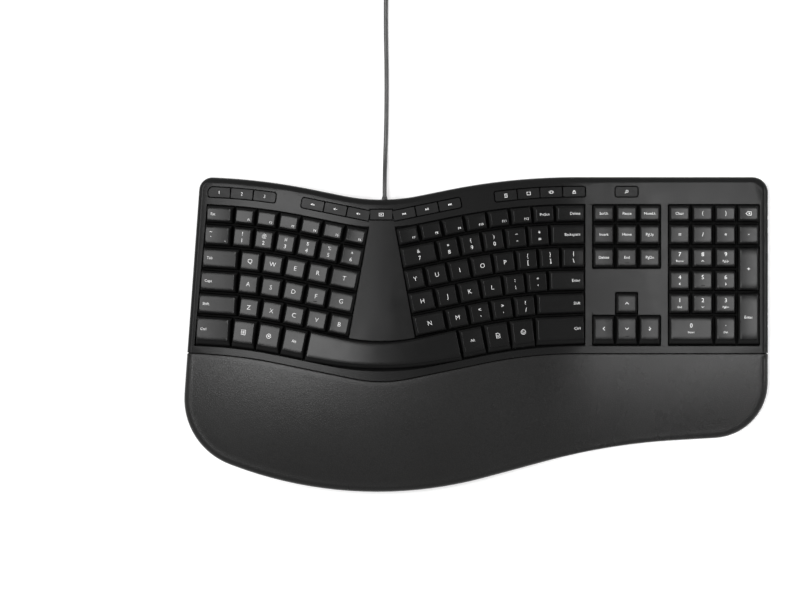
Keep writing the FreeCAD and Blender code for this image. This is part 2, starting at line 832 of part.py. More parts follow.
def space_bar():
    front = ROW_OFFSET["modifier"] - ROW_DEPTH["modifier"] / 2
    back = ROW_OFFSET["modifier"] + ROW_DEPTH["modifier"] / 2
    low_level = CREST - 8
    high_level = CREST + RISE + 2
    height = RISE + size("cap_below")
    # the crown has dropped at the bar's ends, and the walls spread no further there than a key's
    end_drop = CREST - min(crown_height(rim_at(end, front).x) for end in (space_left, space_right))
    spread = height / (height + end_drop)
    skirt = size("front_skirt") * spread
    wall = size("cap_wall")
    # the walls lean in by the skirt between the cap's foot and its top face
    share_up = (high_level - CREST + size("cap_below")) / height
    share_down = (CREST - size("cap_below") - low_level) / height
    outer = slanted_band(skirt * (1 + share_down), skirt * (1 - share_up), front, back,
                         low_level, high_level, TAPER * share_down, -TAPER * share_up)
    outer = outer.common(crown_layer(-RISE, size("cap_below")))
    inner = slanted_band(skirt * (1 + share_down) - wall, skirt * (1 - share_up) - wall, front, back,
                         low_level, high_level, TAPER * share_down - wall, -TAPER * share_up - wall)
    inner = inner.common(crown_layer(size("cap_roof") - RISE, size("cap_below") + 1))
    solid = outer.cut(inner)
    places = []
    share = size("space_stem_share")
    for place in (space_left * share, 0.0, space_right * share):
        point, heading = along_wave(place, ROW_OFFSET["modifier"] + 1.0)
        if place == 0.0:
            heading = 0.0
            point = point + Vector(0, 2.0, 0)
        here = on_crown(point.x, point.y, heading)
        places.append(here)
        half = size("stem_wide") / 2
        deep = size("stem_deep") / 2
        stem = block(-half, half, -deep, deep, -size("stem_reach"), RISE - size("cap_roof") + 0.5)
        stem.Placement = here
        solid = solid.fuse(stem)
    return solid, places


bar, bar_stems = space_bar()
caps["space_bar"] = [bar]
stems += bar_stems


# Shortcut keys: flush caps in grooves along the back

def rounded_box(left, right, deep, radii, bottom, top):
    # radii of the front left, front right, back right and back left corners
    corners = [(left, -deep), (right, -deep), (right, deep), (left, deep)]
    return prism([(*corner, radius) for corner, radius in zip(corners, radii)], bottom, top)


HOT_OFFSET = size("hot_offset")
HOT_PITCH = size("hot_pitch")
hot_slots = []


def put_hot_key(node, place, first, last, wide_corner=False):
    # a cap and its part of the groove, which runs on between the keys of a block
    half = size("hot_width") / 2
    deep = size("hot_depth") / 2
    groove = size("hot_groove")
    left = size("hot_end_corner") if first else size("hot_corner")
    right = size("hot_end_corner") if last else size("hot_corner")
    far_left = size("hot_first_corner") if wide_corner else left
    corners = (left, right, right, far_left)
    body = rounded_box(-half, half, deep, corners, -size("hot_below"), size("hot_rise"))
    stem_half = size("stem_wide") / 2
    stem = block(-stem_half, stem_half, -stem_half, stem_half, -size("stem_reach"), 0)
    shape = body.fuse(stem)
    shape.Placement = place
    caps.setdefault(node, []).append(shape)
    stems.append(place)
    middle = (HOT_PITCH + size("hot_overlap")) / 2
    radii = [left + groove if first else 0, right + groove if last else 0,
             right + groove if last else 0, far_left + groove if first else 0]
    slot = rounded_box(-half - groove if first else -middle, half + groove if last else middle,
                       deep + groove, radii, -size("hot_groove_depth"), RISE)
    slot.Placement = place
    hot_slots.append(slot)


def hot_place(place, offset=HOT_OFFSET):
    point, heading = along_wave(place, offset)
    return on_crown(point.x, point.y, heading)


place = size("left_hot_start")
for index in range(3):
    put_hot_key("shortcut_keys", hot_place(place), index == 0, index == 2, wide_corner=index == 0)
    place = advance(place, HOT_PITCH, HOT_OFFSET)

# the middle media key sits on the bend of the row and its neighbours step away from it
hot_back = wave(HOT_OFFSET, size("back_apex_radius"), -300, 300)
bend = size("back_apex_radius")
bend_y = hot_back[2][1] + bend * (1 / math.cos(math.radians(WING)) - 1)
put_hot_key("media_keys", on_crown(APEX_X, bend_y), False, False)
cut_corner = 2 * bend * (math.tan(math.radians(WING) / 2) - math.radians(WING) / 2)
miter = HOT_OFFSET * math.tan(math.radians(WING))
for side in (-1, 1):
    for index in (1, 2, 3):
        place = side * (index * HOT_PITCH + miter + cut_corner / 2)
        put_hot_key("media_keys", hot_place(place), index == 3 and side < 0, index == 3 and side > 0)

place = size("right_hot_start")
for index in range(4):
    put_hot_key("tool_keys", hot_place(place), index == 0, index == 3)
    place = advance(place, HOT_PITCH, HOT_OFFSET)
put_hot_key("search_key", on_crown(ARROWS_X, HOME_Y + HOT_OFFSET), True, True)


# Wells: the openings in the top case that the key caps stand in

def side_clip(edge_a, edge_b, grow_a, grow_b, bottom, top):
    # an upright slab between two lines across the rows
    corners = []
    for edge, grow, offsets in ((edge_a, grow_a, (-80, 90)), (edge_b, grow_b, (90, -80))):
        for offset in offsets:
            point = rim_at(edge(offset), offset)
            corners.append((point.x + grow, point.y, 0))
    return prism(corners[1::-1] + corners[:1:-1], bottom, top)


def alpha_well(grow, bottom, top):
    front = FRONT_EDGE - WELL_GAP - grow
    back = BACK_EDGE + WELL_GAP + grow
    tall = band(front, size("space_front_radius"), back, size("back_apex_radius"), bottom, top)
    low = band(front, size("space_front_radius"), SPACE_BACK + WELL_GAP + grow,
               size("space_apex_radius"), bottom, top)
    left = tall.common(side_clip(left_edge, left_end, -grow, grow, bottom, top))
    right = tall.common(side_clip(right_start, right_edge, -grow, grow, bottom, top))
    overlap = size("panel_overlap")
    middle = low.common(side_clip(left_end, right_start, -overlap, overlap, bottom, top))
    return left.fuse([middle, right]).removeSplitter()


def flat_well(columns_left, columns_right, back, front, grow, bottom, top):
    radius = size("well_corner")
    reach = WELL_REACH + grow
    left = columns_left - reach
    right = columns_right + reach
    low = HOME_Y + front - WELL_GAP - grow
    high = HOME_Y + back + WELL_GAP + grow
    return prism([(left, low, radius), (right, low, radius), (right, high, radius), (left, high, radius)],
                 bottom, top)


def wells(grow, bottom, top):
    letter_foot = LETTER / 2 + TAPER_DEEP
    low_back = ROW_OFFSET["modifier"] + ROW_DEPTH["modifier"] / 2 + TAPER_DEEP
    navigation = flat_well(ARROWS_X - PITCH, ARROWS_X + PITCH, BACK_EDGE, PITCH - letter_foot,
                           grow, bottom, top)
    arrows = flat_well(ARROWS_X - PITCH, ARROWS_X + PITCH, low_back, FRONT_EDGE, grow, bottom, top)
    up_arrow = flat_well(ARROWS_X, ARROWS_X, -PITCH + letter_foot, FRONT_EDGE, grow, bottom, top)
    numpad = flat_well(NUMPAD_X, NUMPAD_X + 3 * PITCH, BACK_EDGE, FRONT_EDGE, grow, bottom, top)
    return [alpha_well(grow, bottom, top), navigation, arrows.fuse(up_arrow).removeSplitter(), numpad]


# Screw posts: (place on the home row or x, offset behind it)

POSTS = [
    rim_at(-93.0, HOT_OFFSET),
    rim_at(93.0, HOT_OFFSET),
    Vector(NUMPAD_X + 2 * PITCH, HOME_Y + HOT_OFFSET, 0),
    Vector(APEX_X, size("apex_y") + 45.0, 0),
    Vector(APEX_X, size("apex_y") + 8.0, 0),
    Vector(ARROWS_X - PITCH, HOME_Y - 6.5, 0),
    Vector(ARROWS_X + PITCH, HOME_Y - 6.5, 0),
]
PALM_POSTS = [
    Vector(-HALF_WIDTH + 37.5, -62.0, 0),
    Vector(APEX_X - 21.0, -105.0, 0),
    Vector(APEX_X + 109.0, -90.0, 0),
    Vector(HALF_WIDTH - 27.5, -50.0, 0),
]
POST_BASE = RIM + size("parting_gap")


# how far a post or rib starts inside the wall that carries it
SINK = 0.5
FLOOR = size("foot_height")
FLOOR_TOP = FLOOR + size("floor_thickness")
SCREW_SEAT = FLOOR + size("screw_recess")
SCREW_TOP = SCREW_SEAT + size("screw_length")


def cylinder(radius, point, bottom, top):
    return Part.makeCylinder(radius, top - bottom, Vector(point.x, point.y, bottom))


def post_block(radius, point, bottom, top):
    # an eight-sided post, as wide across its flats as a round one
    reach = radius / math.cos(math.pi / 8)
    rings = []
    for level in (bottom, top):
        rings.append([Vector(point.x, point.y, level) + direction(22.5 + 45 * index) * reach
                      for index in range(8)])
    return flat_sided(rings)


def screw_hole(point, bottom, top):
    return cylinder(size("screw_radius") + size("screw_pilot_gap"), point, bottom, top)


def region_behind_seam(gap, bottom, top):
    seam = size("seam_offset") + gap
    return band(seam, size("seam_apex_radius"), 140, 200, bottom, top)


def region_before_seam(gap, bottom, top):
    seam = size("seam_offset") - gap
    return band(-FAR * 3.2, size("front_sweep_radius"), seam, size("seam_apex_radius"), bottom, top)


# Pieces of the casing

upper = upper_shell()


def top_case():
    base = RIM + size("parting_gap")
    shell = upper.common(region_behind_seam(size("seam_gap") / 2, base, FAR))
    inner = prism(inset(OUTLINE, WALL), 0, FAR).common(under_surface(WALL))
    inner = inner.common(region_behind_seam(size("seam_gap") / 2 + WALL, 0, FAR))
    shell = shell.cut(inner)
    for post in POSTS:
        level = crown_height(post.x) - fall(post.y) - WALL / 2
        shell = shell.fuse(post_block(size("post_radius"), post, base, level))
    wall = crown_layer(WALL / 2, size("frame_level") - size("dome_gap"))
    outer_wells = wells(size("well_rim"), 0, FAR)
    rims = [wall.common(solid) for solid in outer_wells]
    rims = [rim.common(region_behind_seam(size("seam_gap") / 2, 0, FAR)) for rim in rims]
    shell = shell.fuse(rims)
    shell = shell.cut(wells(0, 0, FAR))
    shell = shell.cut(hot_slots)
    holes = [screw_hole(post, base, SCREW_TOP + size("screw_end_gap")) for post in POSTS]
    room = size("boot_radius") + size("boot_slack")
    mouth = Part.makeCylinder(room, 20, BOOT_WALL - Vector(0, 15, 0), Vector(0, 1, 0))
    return shell.cut(holes + [mouth]).removeSplitter()


def key_field(top_drop, bottom_drop, post_room):
    # a sheet under all the keys, with a hole round each screw post
    region = prism(inset(OUTLINE, WALL + 0.8), 0, FAR)
    back = HOT_OFFSET + size("hot_depth") / 2 + 1.6
    front = FRONT_EDGE - WELL_GAP - 2.4
    region = region.common(band(front, size("space_front_radius"), back, size("back_apex_radius"), 0, FAR))
    sheet_solid = crown_layer(top_drop, bottom_drop).common(region)
    holes = [cylinder(size("post_radius") + post_room, post, 0, FAR) for post in POSTS]
    return sheet_solid.cut(holes)


# The cord leaves through the back wall at the bend of the back edge
back_bend = wave(size("back_offset"), size("back_apex_radius"), -300, 300)[2]
back_y = back_bend[1] + size("back_apex_radius") * (1 / math.cos(math.radians(WING)) - 1)
BOOT_WALL = Vector(size("cord_exit_x"), back_y, size("cord_exit_level"))

nodes = {}
nodes["top_case"] = top_case()
frame_top = size("frame_level")
frame = key_field(frame_top, frame_top + size("frame_thickness"), size("post_clearance"))
hole_tools = []
for place in stems:
    hole = stem_hole()
    hole.Placement = place
    hole_tools.append(hole)
nodes["key_frame"] = frame.cut(hole_tools)

# Rubber domes on one sheet, the membrane and the backing plate, each just under the last

domes = []
for place in stems:
    dome = rubber_dome()
    dome.Placement = place
    domes.append(dome)
level = size("dome_level")
dome_sheet = key_field(level, level + size("sheet_thickness"), size("post_clearance"))
nodes["rubber_dome_sheet"] = dome_sheet.fuse(domes)
level += size("sheet_thickness") + size("layer_gap")
nodes["membrane_sheet"] = key_field(level, level + size("membrane_thickness"), size("post_clearance"))
level += size("membrane_thickness") + size("layer_gap")
nodes["backing_plate"] = key_field(level, level + size("plate_thickness"), size("post_clearance"))
PLATE_FOOT = level + size("plate_thickness")


# Palm rest: a padded skin over a hollow base

PAD = size("pad_thickness")
LEG_WALL = size("leg_pocket_wall")
LEG_ROOF = size("leg_pocket_roof")
PAD_GAP = size("pad_seat_gap")
SEAM_HALF = size("seam_gap") / 2
LEG_X = (size("left_leg_x"), size("right_leg_x"))
LEG_LEVEL = FLOOR + 0.3 + size("leg_thickness") / 2


def palm_form(step, bottom):
    # the palm rest's own form with its sides and its top moved inwards by step
    if step == 0:
        form = upper.common(region_before_seam(SEAM_HALF, bottom, FAR))
    else:
        form = prism(inset(OUTLINE, step), bottom, FAR).common(under_surface(step))
        form = form.common(region_before_seam(SEAM_HALF + step, bottom, FAR))
    return form


def palm_pad():
    base = RIM + size("parting_gap")
    return palm_form(0, base).cut(palm_form(PAD, 0))


def leg_pocket(x, grow, top_grow):
    clear = size("leg_clearance")
    half = size("leg_width") / 2 + clear + grow
    radius = size("leg_thickness") / 2
    hinge = size("leg_hinge_y")
    top = LEG_LEVEL + radius + clear + top_grow
    return block(x - half, x + half, hinge - size("leg_length") - clear - grow,
                 hinge + radius + clear + grow, 0, top)


def palm_base():
    base = RIM + size("parting_gap")
    shell = palm_form(PAD + PAD_GAP, base).cut(palm_form(PAD + PAD_GAP + WALL, 0))
    for post in PALM_POSTS:
        level = crown_height(post.x) - fall(post.y) - PAD - PAD_GAP - WALL / 2
        shell = shell.fuse(post_block(size("post_radius"), post, base, level))
    tools = [screw_hole(post, base, SCREW_TOP + size("screw_end_gap")) for post in PALM_POSTS]
    clear = size("leg_clearance")
    tools += [leg_pocket(x, LEG_WALL + clear, LEG_ROOF + clear) for x in LEG_X]
    return shell.cut(tools).removeSplitter()


nodes["palm_rest_pad"] = palm_pad()
nodes["palm_rest_base"] = palm_base()


# Bottom case: a tray with bosses, pillars and the leg pockets

FOOT_X = HALF_WIDTH - size("foot_inset")
FEET = [
    Vector(-FOOT_X, 116.0, 0),
    Vector(FOOT_X, 112.0, 0),
    Vector(5.0 - FOOT_X, -84.0, 0),
    Vector(-60.0, -112.0, 0),
    Vector(FOOT_X, -66.0, 0),
]
PILLARS = [(-125, 30), (-125, -25), (-62, 55), (-62, -5), (52, 50), (52, -10), (112, 40), (112, -25),
           (215, 65), (215, -10), (262, 65), (262, -10)]
BOARD = Vector(APEX_X, size("board_y"), size("board_level"))


def board_holes():
    inset_x = size("board_width") / 2 - size("board_hole_inset")
    inset_y = size("board_depth") / 2 - size("board_hole_inset")
    return [Vector(BOARD.x + a * inset_x, BOARD.y + b * inset_y, 0) for a in (-1, 1) for b in (-1, 1)]


def bottom_case():
    edge = inset(OUTLINE, size("bottom_step"))
    tray = prism(edge, FLOOR, RIM)
    lower = [e for e in tray.Edges if e.BoundBox.ZMax < FLOOR + 1e-3]
    tray = tray.makeFillet(size("floor_edge_radius"), lower)
    tray = tray.cut(prism(inset(edge, WALL), FLOOR_TOP, FAR))
    raised = [post_block(size("post_radius"), post, FLOOR_TOP - SINK, RIM) for post in POSTS + PALM_POSTS]
    for place, offset in PILLARS:
        point = rim_at(place, offset)
        level = crown_height(point.x) - PLATE_FOOT - size("pillar_clearance")
        raised.append(post_block(size("pillar_radius"), point, FLOOR_TOP - SINK, level))
    raised += [post_block(size("board_stud_radius"), point, FLOOR_TOP - SINK, BOARD.z)
               for point in board_holes()]
    raised += [leg_pocket(x, LEG_WALL, LEG_ROOF).cut(block(-300, 300, -300, 300, -1, FLOOR)) for x in LEG_X]
    tray = tray.fuse(raised)
    tools = []
    for post in POSTS + PALM_POSTS:
        tools.append(cylinder(size("screw_radius") + size("screw_pass_gap"), post, 0, FAR / 4))
        tools.append(cylinder(size("screw_head_radius") + size("screw_head_gap"), post, 0, SCREW_SEAT))
    for x in LEG_X:
        tools.append(leg_pocket(x, 0, 0))
        reach = size("leg_width") / 2 + size("leg_clearance") + size("leg_pin_hole_reach")
        tools.append(Part.makeCylinder(size("leg_pin_radius") + size("leg_pin_gap"), 2 * reach,
                                       Vector(x - reach, size("leg_hinge_y"), LEG_LEVEL), Vector(1, 0, 0)))
    half = size("foot_width") / 2 + size("foot_gap")
    deep = size("foot_depth") / 2 + size("foot_gap")
    for foot in FEET:
        tools.append(block(foot.x - half, foot.x + half, foot.y - deep, foot.y + deep,
                           0, FLOOR + size("foot_recess")))
    return tray.cut(tools)


nodes["bottom_case"] = bottom_case()


# Cord: a free lead to a put-away coil, and a short tail to the plug

CORD = size("cord_diameter")
CORD_LOW = CORD / 2 + size("cord_lift")


def tangent_route(points):
    # straight runs joined by arcs, each as large as its two runs allow
    edges = []
    radii = []
    start = points[0]
    for index in range(1, len(points) - 1):
        here = points[index]
        back = points[index - 1] - here
        ahead = points[index + 1] - here
        half = back.getAngle(ahead) / 2
        reach = 0.45 * min(back.Length, ahead.Length)
        radius = reach * math.tan(half)
        back.normalize()
        ahead.normalize()
        middle = (back + ahead).normalize()
        centre = here + middle * (radius / math.sin(half))
        edges.append(Part.LineSegment(start, here + back * reach).toShape())
        edges.append(Part.Arc(here + back * reach, centre - middle * radius, here + ahead * reach).toShape())
        start = here + ahead * reach
        radii.append(radius)
    edges.append(Part.LineSegment(start, points[-1]).toShape())
    return Part.Wire(edges), radii


def cord_tube(name, points):
    path, radii = tangent_route(points)
    first = (points[1] - points[0]).normalize()
    ring = Part.Wire(Part.makeCircle(CORD / 2, points[0], first))
    tube = path.makePipeShell([ring], True, False)
    section = math.pi * CORD ** 2 / 4
    print(name, "length %.1f" % path.Length, "radii", " ".join("%.0f" % radius for radius in radii))
    print(name, "volume", round(tube.Volume), "section by length", round(section * path.Length))
    return tube, path.Length


# The coil winds clockwise from its left side: each layer spirals steadily in or out, and the
# cord climbs a layer in the half turn where the spiral reverses.

LAYERS = int(size("coil_layers"))
CLIMB = 0.5
TURNS = size("coil_loops") - 0.25
COIL_PITCH = size("coil_pitch")
COIL_OUT = size("coil_mean_radius") + TURNS * COIL_PITCH / 2
COIL_IN = size("coil_mean_radius") - TURNS * COIL_PITCH / 2
COIL_BASE = CORD / 2 + size("tie_thickness") + size("tie_gap")
COIL_CENTRE = Vector(size("cord_exit_x") + 1.4 + COIL_OUT, size("coil_y"), COIL_BASE)
COIL_TURNS = LAYERS * TURNS + (LAYERS - 1) * CLIMB - 0.25


def coil_point(turn):
    layer = min(int(turn / (TURNS + CLIMB)), LAYERS - 1)
    within = turn - layer * (TURNS + CLIMB)
    inwards = layer % 2 == 0
    run = min(max(within, 0.0), TURNS) * COIL_PITCH
    radius = COIL_OUT - run if inwards else COIL_IN + run
    climbed = max(within - TURNS, 0.0) / CLIMB
    rise = (layer + climbed) * size("coil_layer_step")
    angle = math.pi - 2 * math.pi * turn
    return COIL_CENTRE + Vector(radius * math.cos(angle), radius * math.sin(angle), rise)


def coil():
    # a six-sided tube bent a little at each step, with every bend mitred
    steps = int(round(COIL_TURNS * size("coil_bends")))
    start = coil_point(0)
    end = coil_point(COIL_TURNS)
    lead_in = start - Vector(0, CORD, 0)
    lead_out = end + Vector(CORD, 0, 0)
    points = [lead_in] + [coil_point(COIL_TURNS * step / steps) for step in range(steps + 1)] + [lead_out]
    ways = [(b - a).normalize() for a, b in zip(points, points[1:])]
    sides = int(size("coil_sides"))
    rings = [[lead_in + Vector(math.cos(turn), 0, math.sin(turn)) * (CORD / 2)
              for turn in (2 * math.pi * index / sides for index in range(sides))]]
    for index, way in enumerate(ways):
        mitre = way + ways[index + 1] if index + 1 < len(ways) else way
        rings.append([corner + way * ((points[index + 1] - corner).dot(mitre) / way.dot(mitre))
                      for corner in rings[-1]])
    tube = flat_sided(rings)
    length = sum((b - a).Length for a, b in zip(points, points[1:]))
    half_turn = int(size("coil_bends") / 2)
    least = min((points[a] - points[b]).Length
                for a in range(len(points)) for b in range(a + half_turn, len(points)))
    print("coil length %.1f, least gap to itself %.2f mm" % (length, least - CORD))
    return tube, length, lead_in, lead_out


coil_tube, coil_length, lead_in, lead_out = coil()
nodes["cable_coil"] = coil_tube
boot_end = BOOT_WALL + Vector(0, size("boot_reach"), 0)
exit_level = size("cord_exit_level")
exit_x = size("cord_exit_x")
LEAD_ROUTE = [
    boot_end,
    Vector(exit_x, boot_end.y + 14.0, exit_level - 0.6),
    Vector(exit_x + 0.4, boot_end.y + 30.0, CORD_LOW + 0.2),
    Vector(exit_x + 1.4, boot_end.y + 60.0, CORD_LOW),
    Vector(exit_x + 1.7, boot_end.y + 102.0, CORD_LOW),
    Vector(exit_x + 0.8, boot_end.y + 147.0, CORD_LOW + 0.2),
    lead_in,
]
nodes["cable_lead"], lead_length = cord_tube("lead", LEAD_ROUTE)
TAIL_ROUTE = [
    lead_out,
    lead_out + Vector(18.0, 0.5, -1.0),
    lead_out + Vector(36.0, -4.0, -9.0),
    Vector(lead_out.x + 56.0, lead_out.y - 7.0, size("grip_height") / 2),
    Vector(lead_out.x + 74.0, lead_out.y - 7.6, size("grip_height") / 2),
]
nodes["cable_tail"], tail_length = cord_tube("tail", TAIL_ROUTE)
print("cord in all %.0f mm" % (lead_length + coil_length + tail_length))


# Parts drawn as sketches and primitives bound to the sheet

def sketch_on(body, role, name):
    sketch = body.newObject("Sketcher::SketchObject", name)
    plane = [feature for feature in body.Origin.OriginFeatures if feature.Role == role][0]
    sketch.AttachmentSupport = (plane, [""])
    sketch.MapMode = "FlatFace"
    return sketch


def draw_rectangle(sketch, wide, deep):
    # a rectangle about the sketch's origin, its sides bound to two expressions
    corners = [(-1, -1), (1, -1), (1, 1), (-1, 1)]
    for index in range(4):
        a = Vector(*corners[index], 0)
        b = Vector(*corners[(index + 1) % 4], 0)
        sketch.addGeometry(Part.LineSegment(a, b), False)
    for index in range(4):
        sketch.addConstraint(Sketcher.Constraint("Coincident", index, 2, (index + 1) % 4, 1))
        sketch.addConstraint(Sketcher.Constraint("Vertical" if index % 2 else "Horizontal", index))
    sketch.addConstraint(Sketcher.Constraint("Symmetric", 0, 1, 1, 2, -1, 1))
    width = sketch.addConstraint(Sketcher.Constraint("DistanceX", 0, 1, 0, 2, 2.0))
    depth = sketch.addConstraint(Sketcher.Constraint("DistanceY", 1, 1, 1, 2, 2.0))
    sketch.setExpression("Constraints[%d]" % width, wide)
    sketch.setExpression("Constraints[%d]" % depth, deep)


def draw_slot(sketch, thickness, length):
    # a round-ended bar of the named sizes, from the origin towards -x
    radius = size(thickness) / 2
    reach = size(length) - radius
    quarter = math.pi / 2
    up = Vector(0, 0, 1)
    near = Part.ArcOfCircle(Part.Circle(Vector(0, 0, 0), up, radius), -quarter, quarter)
    far = Part.ArcOfCircle(Part.Circle(Vector(-reach, 0, 0), up, radius), quarter, 3 * quarter)
    sketch.addGeometry(near, False)
    sketch.addGeometry(far, False)
    sketch.addGeometry(Part.LineSegment(Vector(0, radius, 0), Vector(-reach, radius, 0)), False)
    sketch.addGeometry(Part.LineSegment(Vector(-reach, -radius, 0), Vector(0, -radius, 0)), False)
    for arc, end, line, point in ((0, 2, 2, 1), (1, 1, 2, 2), (1, 2, 3, 1), (0, 1, 3, 2)):
        sketch.addConstraint(Sketcher.Constraint("Tangent", arc, end, line, point))
    sketch.addConstraint(Sketcher.Constraint("Coincident", 0, 3, -1, 1))
    sketch.addConstraint(Sketcher.Constraint("Horizontal", 2))
    end_radius = sketch.addConstraint(Sketcher.Constraint("Radius", 0, radius))
    bar = sketch.addConstraint(Sketcher.Constraint("DistanceX", 1, 3, 0, 3, reach))
    sketch.setExpression("Constraints[%d]" % end_radius, "Sizes.%s / 2" % thickness)
    sketch.setExpression("Constraints[%d]" % bar, "Sizes.%s - Sizes.%s / 2" % (length, thickness))


def pad(body, sketch, name, length, midplane=False):
    feature = body.newObject("PartDesign::Pad", name)
    feature.Profile = sketch
    feature.Midplane = midplane
    feature.setExpression("Length", length)
    return feature


def new_body(label):
    body = doc.addObject("PartDesign::Body", label)
    body.Label = label
    return body


def bound(kind, name, **expressions):
    item = doc.addObject(kind, name)
    for key, expression in expressions.items():
        item.setExpression(key, expression)
    return item


def put(item, x, y, z, rotation=None):
    item.Placement = Placement(Vector(x, y, z), rotation or Rotation())
    return item


# Flip-out legs

for side, alias in (("left", "left_leg_x"), ("right", "right_leg_x")):
    leg = new_body("%s_flip_leg" % side)
    profile = sketch_on(leg, "YZ_Plane", "%s_leg_profile" % side)
    draw_slot(profile, "leg_thickness", "leg_length")
    pad(leg, profile, "%s_leg_bar" % side, "Sizes.leg_width", True)
    pin = sketch_on(leg, "YZ_Plane", "%s_leg_pin_circle" % side)
    pin.addGeometry(Part.Circle(Vector(0, 0, 0), Vector(0, 0, 1), 1.0), False)
    pin.addConstraint(Sketcher.Constraint("Coincident", 0, 3, -1, 1))
    radius = pin.addConstraint(Sketcher.Constraint("Radius", 0, 1.0))
    pin.setExpression("Constraints[%d]" % radius, "Sizes.leg_pin_radius")
    pad(leg, pin, "%s_leg_pins" % side, "Sizes.leg_width + 2 * Sizes.leg_pin_reach", True)
    put(leg, size(alias), size("leg_hinge_y"), LEG_LEVEL)


# Rubber feet and screws, each a group of equal pieces

feet = []
for index, foot in enumerate(FEET):
    pad_block = bound("Part::Box", "foot_%d" % index, Length="Sizes.foot_width", Width="Sizes.foot_depth",
                      Height="Sizes.foot_height + Sizes.foot_recess")
    put(pad_block, foot.x - size("foot_width") / 2, foot.y - size("foot_depth") / 2, 0)
    feet.append(pad_block)
rubber_feet = doc.addObject("Part::Compound", "rubber_feet")
rubber_feet.Links = feet

screws = []
for index, post in enumerate(POSTS + PALM_POSTS):
    shank = bound("Part::Cylinder", "screw_shank_%d" % index, Radius="Sizes.screw_radius",
                  Height="Sizes.screw_length")
    head = bound("Part::Cylinder", "screw_head_%d" % index, Radius="Sizes.screw_head_radius",
                 Height="Sizes.screw_head_height")
    put(shank, post.x, post.y, SCREW_SEAT)
    put(head, post.x, post.y, SCREW_SEAT - size("screw_head_height"))
    screw = doc.addObject("Part::Fuse", "screw_%d" % index)
    screw.Base = shank
    screw.Tool = head
    screws.append(screw)
case_screws = doc.addObject("Part::Compound", "case_screws")
case_screws.Links = screws


# Controller board with its holes, and the chips on it

board = new_body("controller_board")
board_outline = sketch_on(board, "XY_Plane", "board_outline")
draw_rectangle(board_outline, "Sizes.board_width", "Sizes.board_depth")
for hole in board_holes():
    centre = Vector(hole.x - BOARD.x, hole.y - BOARD.y, 0)
    board_outline.addGeometry(Part.Circle(centre, Vector(0, 0, 1), size("board_hole_radius")), False)
pad(board, board_outline, "board_sheet", "Sizes.board_thickness")
put(board, BOARD.x, BOARD.y, BOARD.z)

# name, place on the board, then width, depth and height
CHIPS = [
    ("controller", -6.0, 0.0, 10.0, 10.0, 1.6),
    ("cord_socket", 18.0, 3.0, 9.0, 5.0, 5.0),
    ("crystal", 6.0, 4.0, 5.0, 3.0, 2.0),
    ("ribbon_latch", -20.0, 5.0, 12.0, 4.0, 3.0),
]
chips = []
for name, x, y, wide, deep, tall in CHIPS:
    chip = doc.addObject("Part::Box", "%s_block" % name)
    chip.Length = wide
    chip.Width = deep
    chip.Height = tall
    put(chip, BOARD.x + x - wide / 2, BOARD.y + y - deep / 2, BOARD.z + size("board_thickness"))
    chips.append(chip)
board_components = doc.addObject("Part::Compound", "board_components")
board_components.Links = chips


# Cable boot: a flange inside the wall, a neck through it and a tapered sleeve outside

BACKWARDS = Rotation(Vector(1, 0, 0), -90)
wall_run = WALL + 0.9
flange = bound("Part::Cylinder", "boot_flange", Radius="Sizes.boot_flange_radius",
               Height="Sizes.boot_flange_thickness")
put(flange, BOOT_WALL.x, BOOT_WALL.y - wall_run - size("boot_flange_thickness"), BOOT_WALL.z, BACKWARDS)
neck = bound("Part::Cylinder", "boot_neck", Radius="Sizes.boot_radius")
neck.Height = wall_run + size("boot_neck_reach")
put(neck, BOOT_WALL.x, BOOT_WALL.y - wall_run, BOOT_WALL.z, BACKWARDS)
sleeve = bound("Part::Cone", "boot_sleeve", Radius1="Sizes.boot_radius",
               Radius2="Sizes.cord_diameter / 2 + Sizes.boot_slack",
               Height="Sizes.boot_reach - Sizes.boot_neck_reach")
put(sleeve, BOOT_WALL.x, BOOT_WALL.y + size("boot_neck_reach"), BOOT_WALL.z, BACKWARDS)
boot = doc.addObject("Part::MultiFuse", "cable_boot")
boot.Shapes = [flange, neck, sleeve]


# Coil tie: a band round the bundle at the front of the coil

bundle_low = COIL_BASE - CORD / 2 - size("tie_gap")
bundle_high = COIL_BASE + (LAYERS - 1) * size("coil_layer_step") + CORD / 2 + size("tie_gap")
bundle_in = COIL_IN - CORD / 2 - size("tie_inner_room")
bundle_out = COIL_OUT + CORD / 2 + size("tie_outer_room")
tie_skin = size("tie_thickness")
tie_outer = bound("Part::Box", "tie_outer", Length="Sizes.tie_width")
tie_outer.Width = bundle_out - bundle_in + 2 * tie_skin
tie_outer.Height = bundle_high - bundle_low + 2 * tie_skin
tie_x = COIL_CENTRE.x - size("tie_width") / 2
put(tie_outer, tie_x, COIL_CENTRE.y - bundle_out - tie_skin, bundle_low - tie_skin)
tie_hollow = doc.addObject("Part::Box", "tie_hollow")
tie_hollow.Length = size("tie_width") + 2
tie_hollow.Width = bundle_out - bundle_in
tie_hollow.Height = bundle_high - bundle_low
put(tie_hollow, tie_x - 1, COIL_CENTRE.y - bundle_out, bundle_low)
coil_tie = doc.addObject("Part::Cut", "coil_tie")
coil_tie.Base = tie_outer
coil_tie.Tool = tie_hollow


# Plug: a moulded grip and its metal shell, lying beside the coil in line with the tail

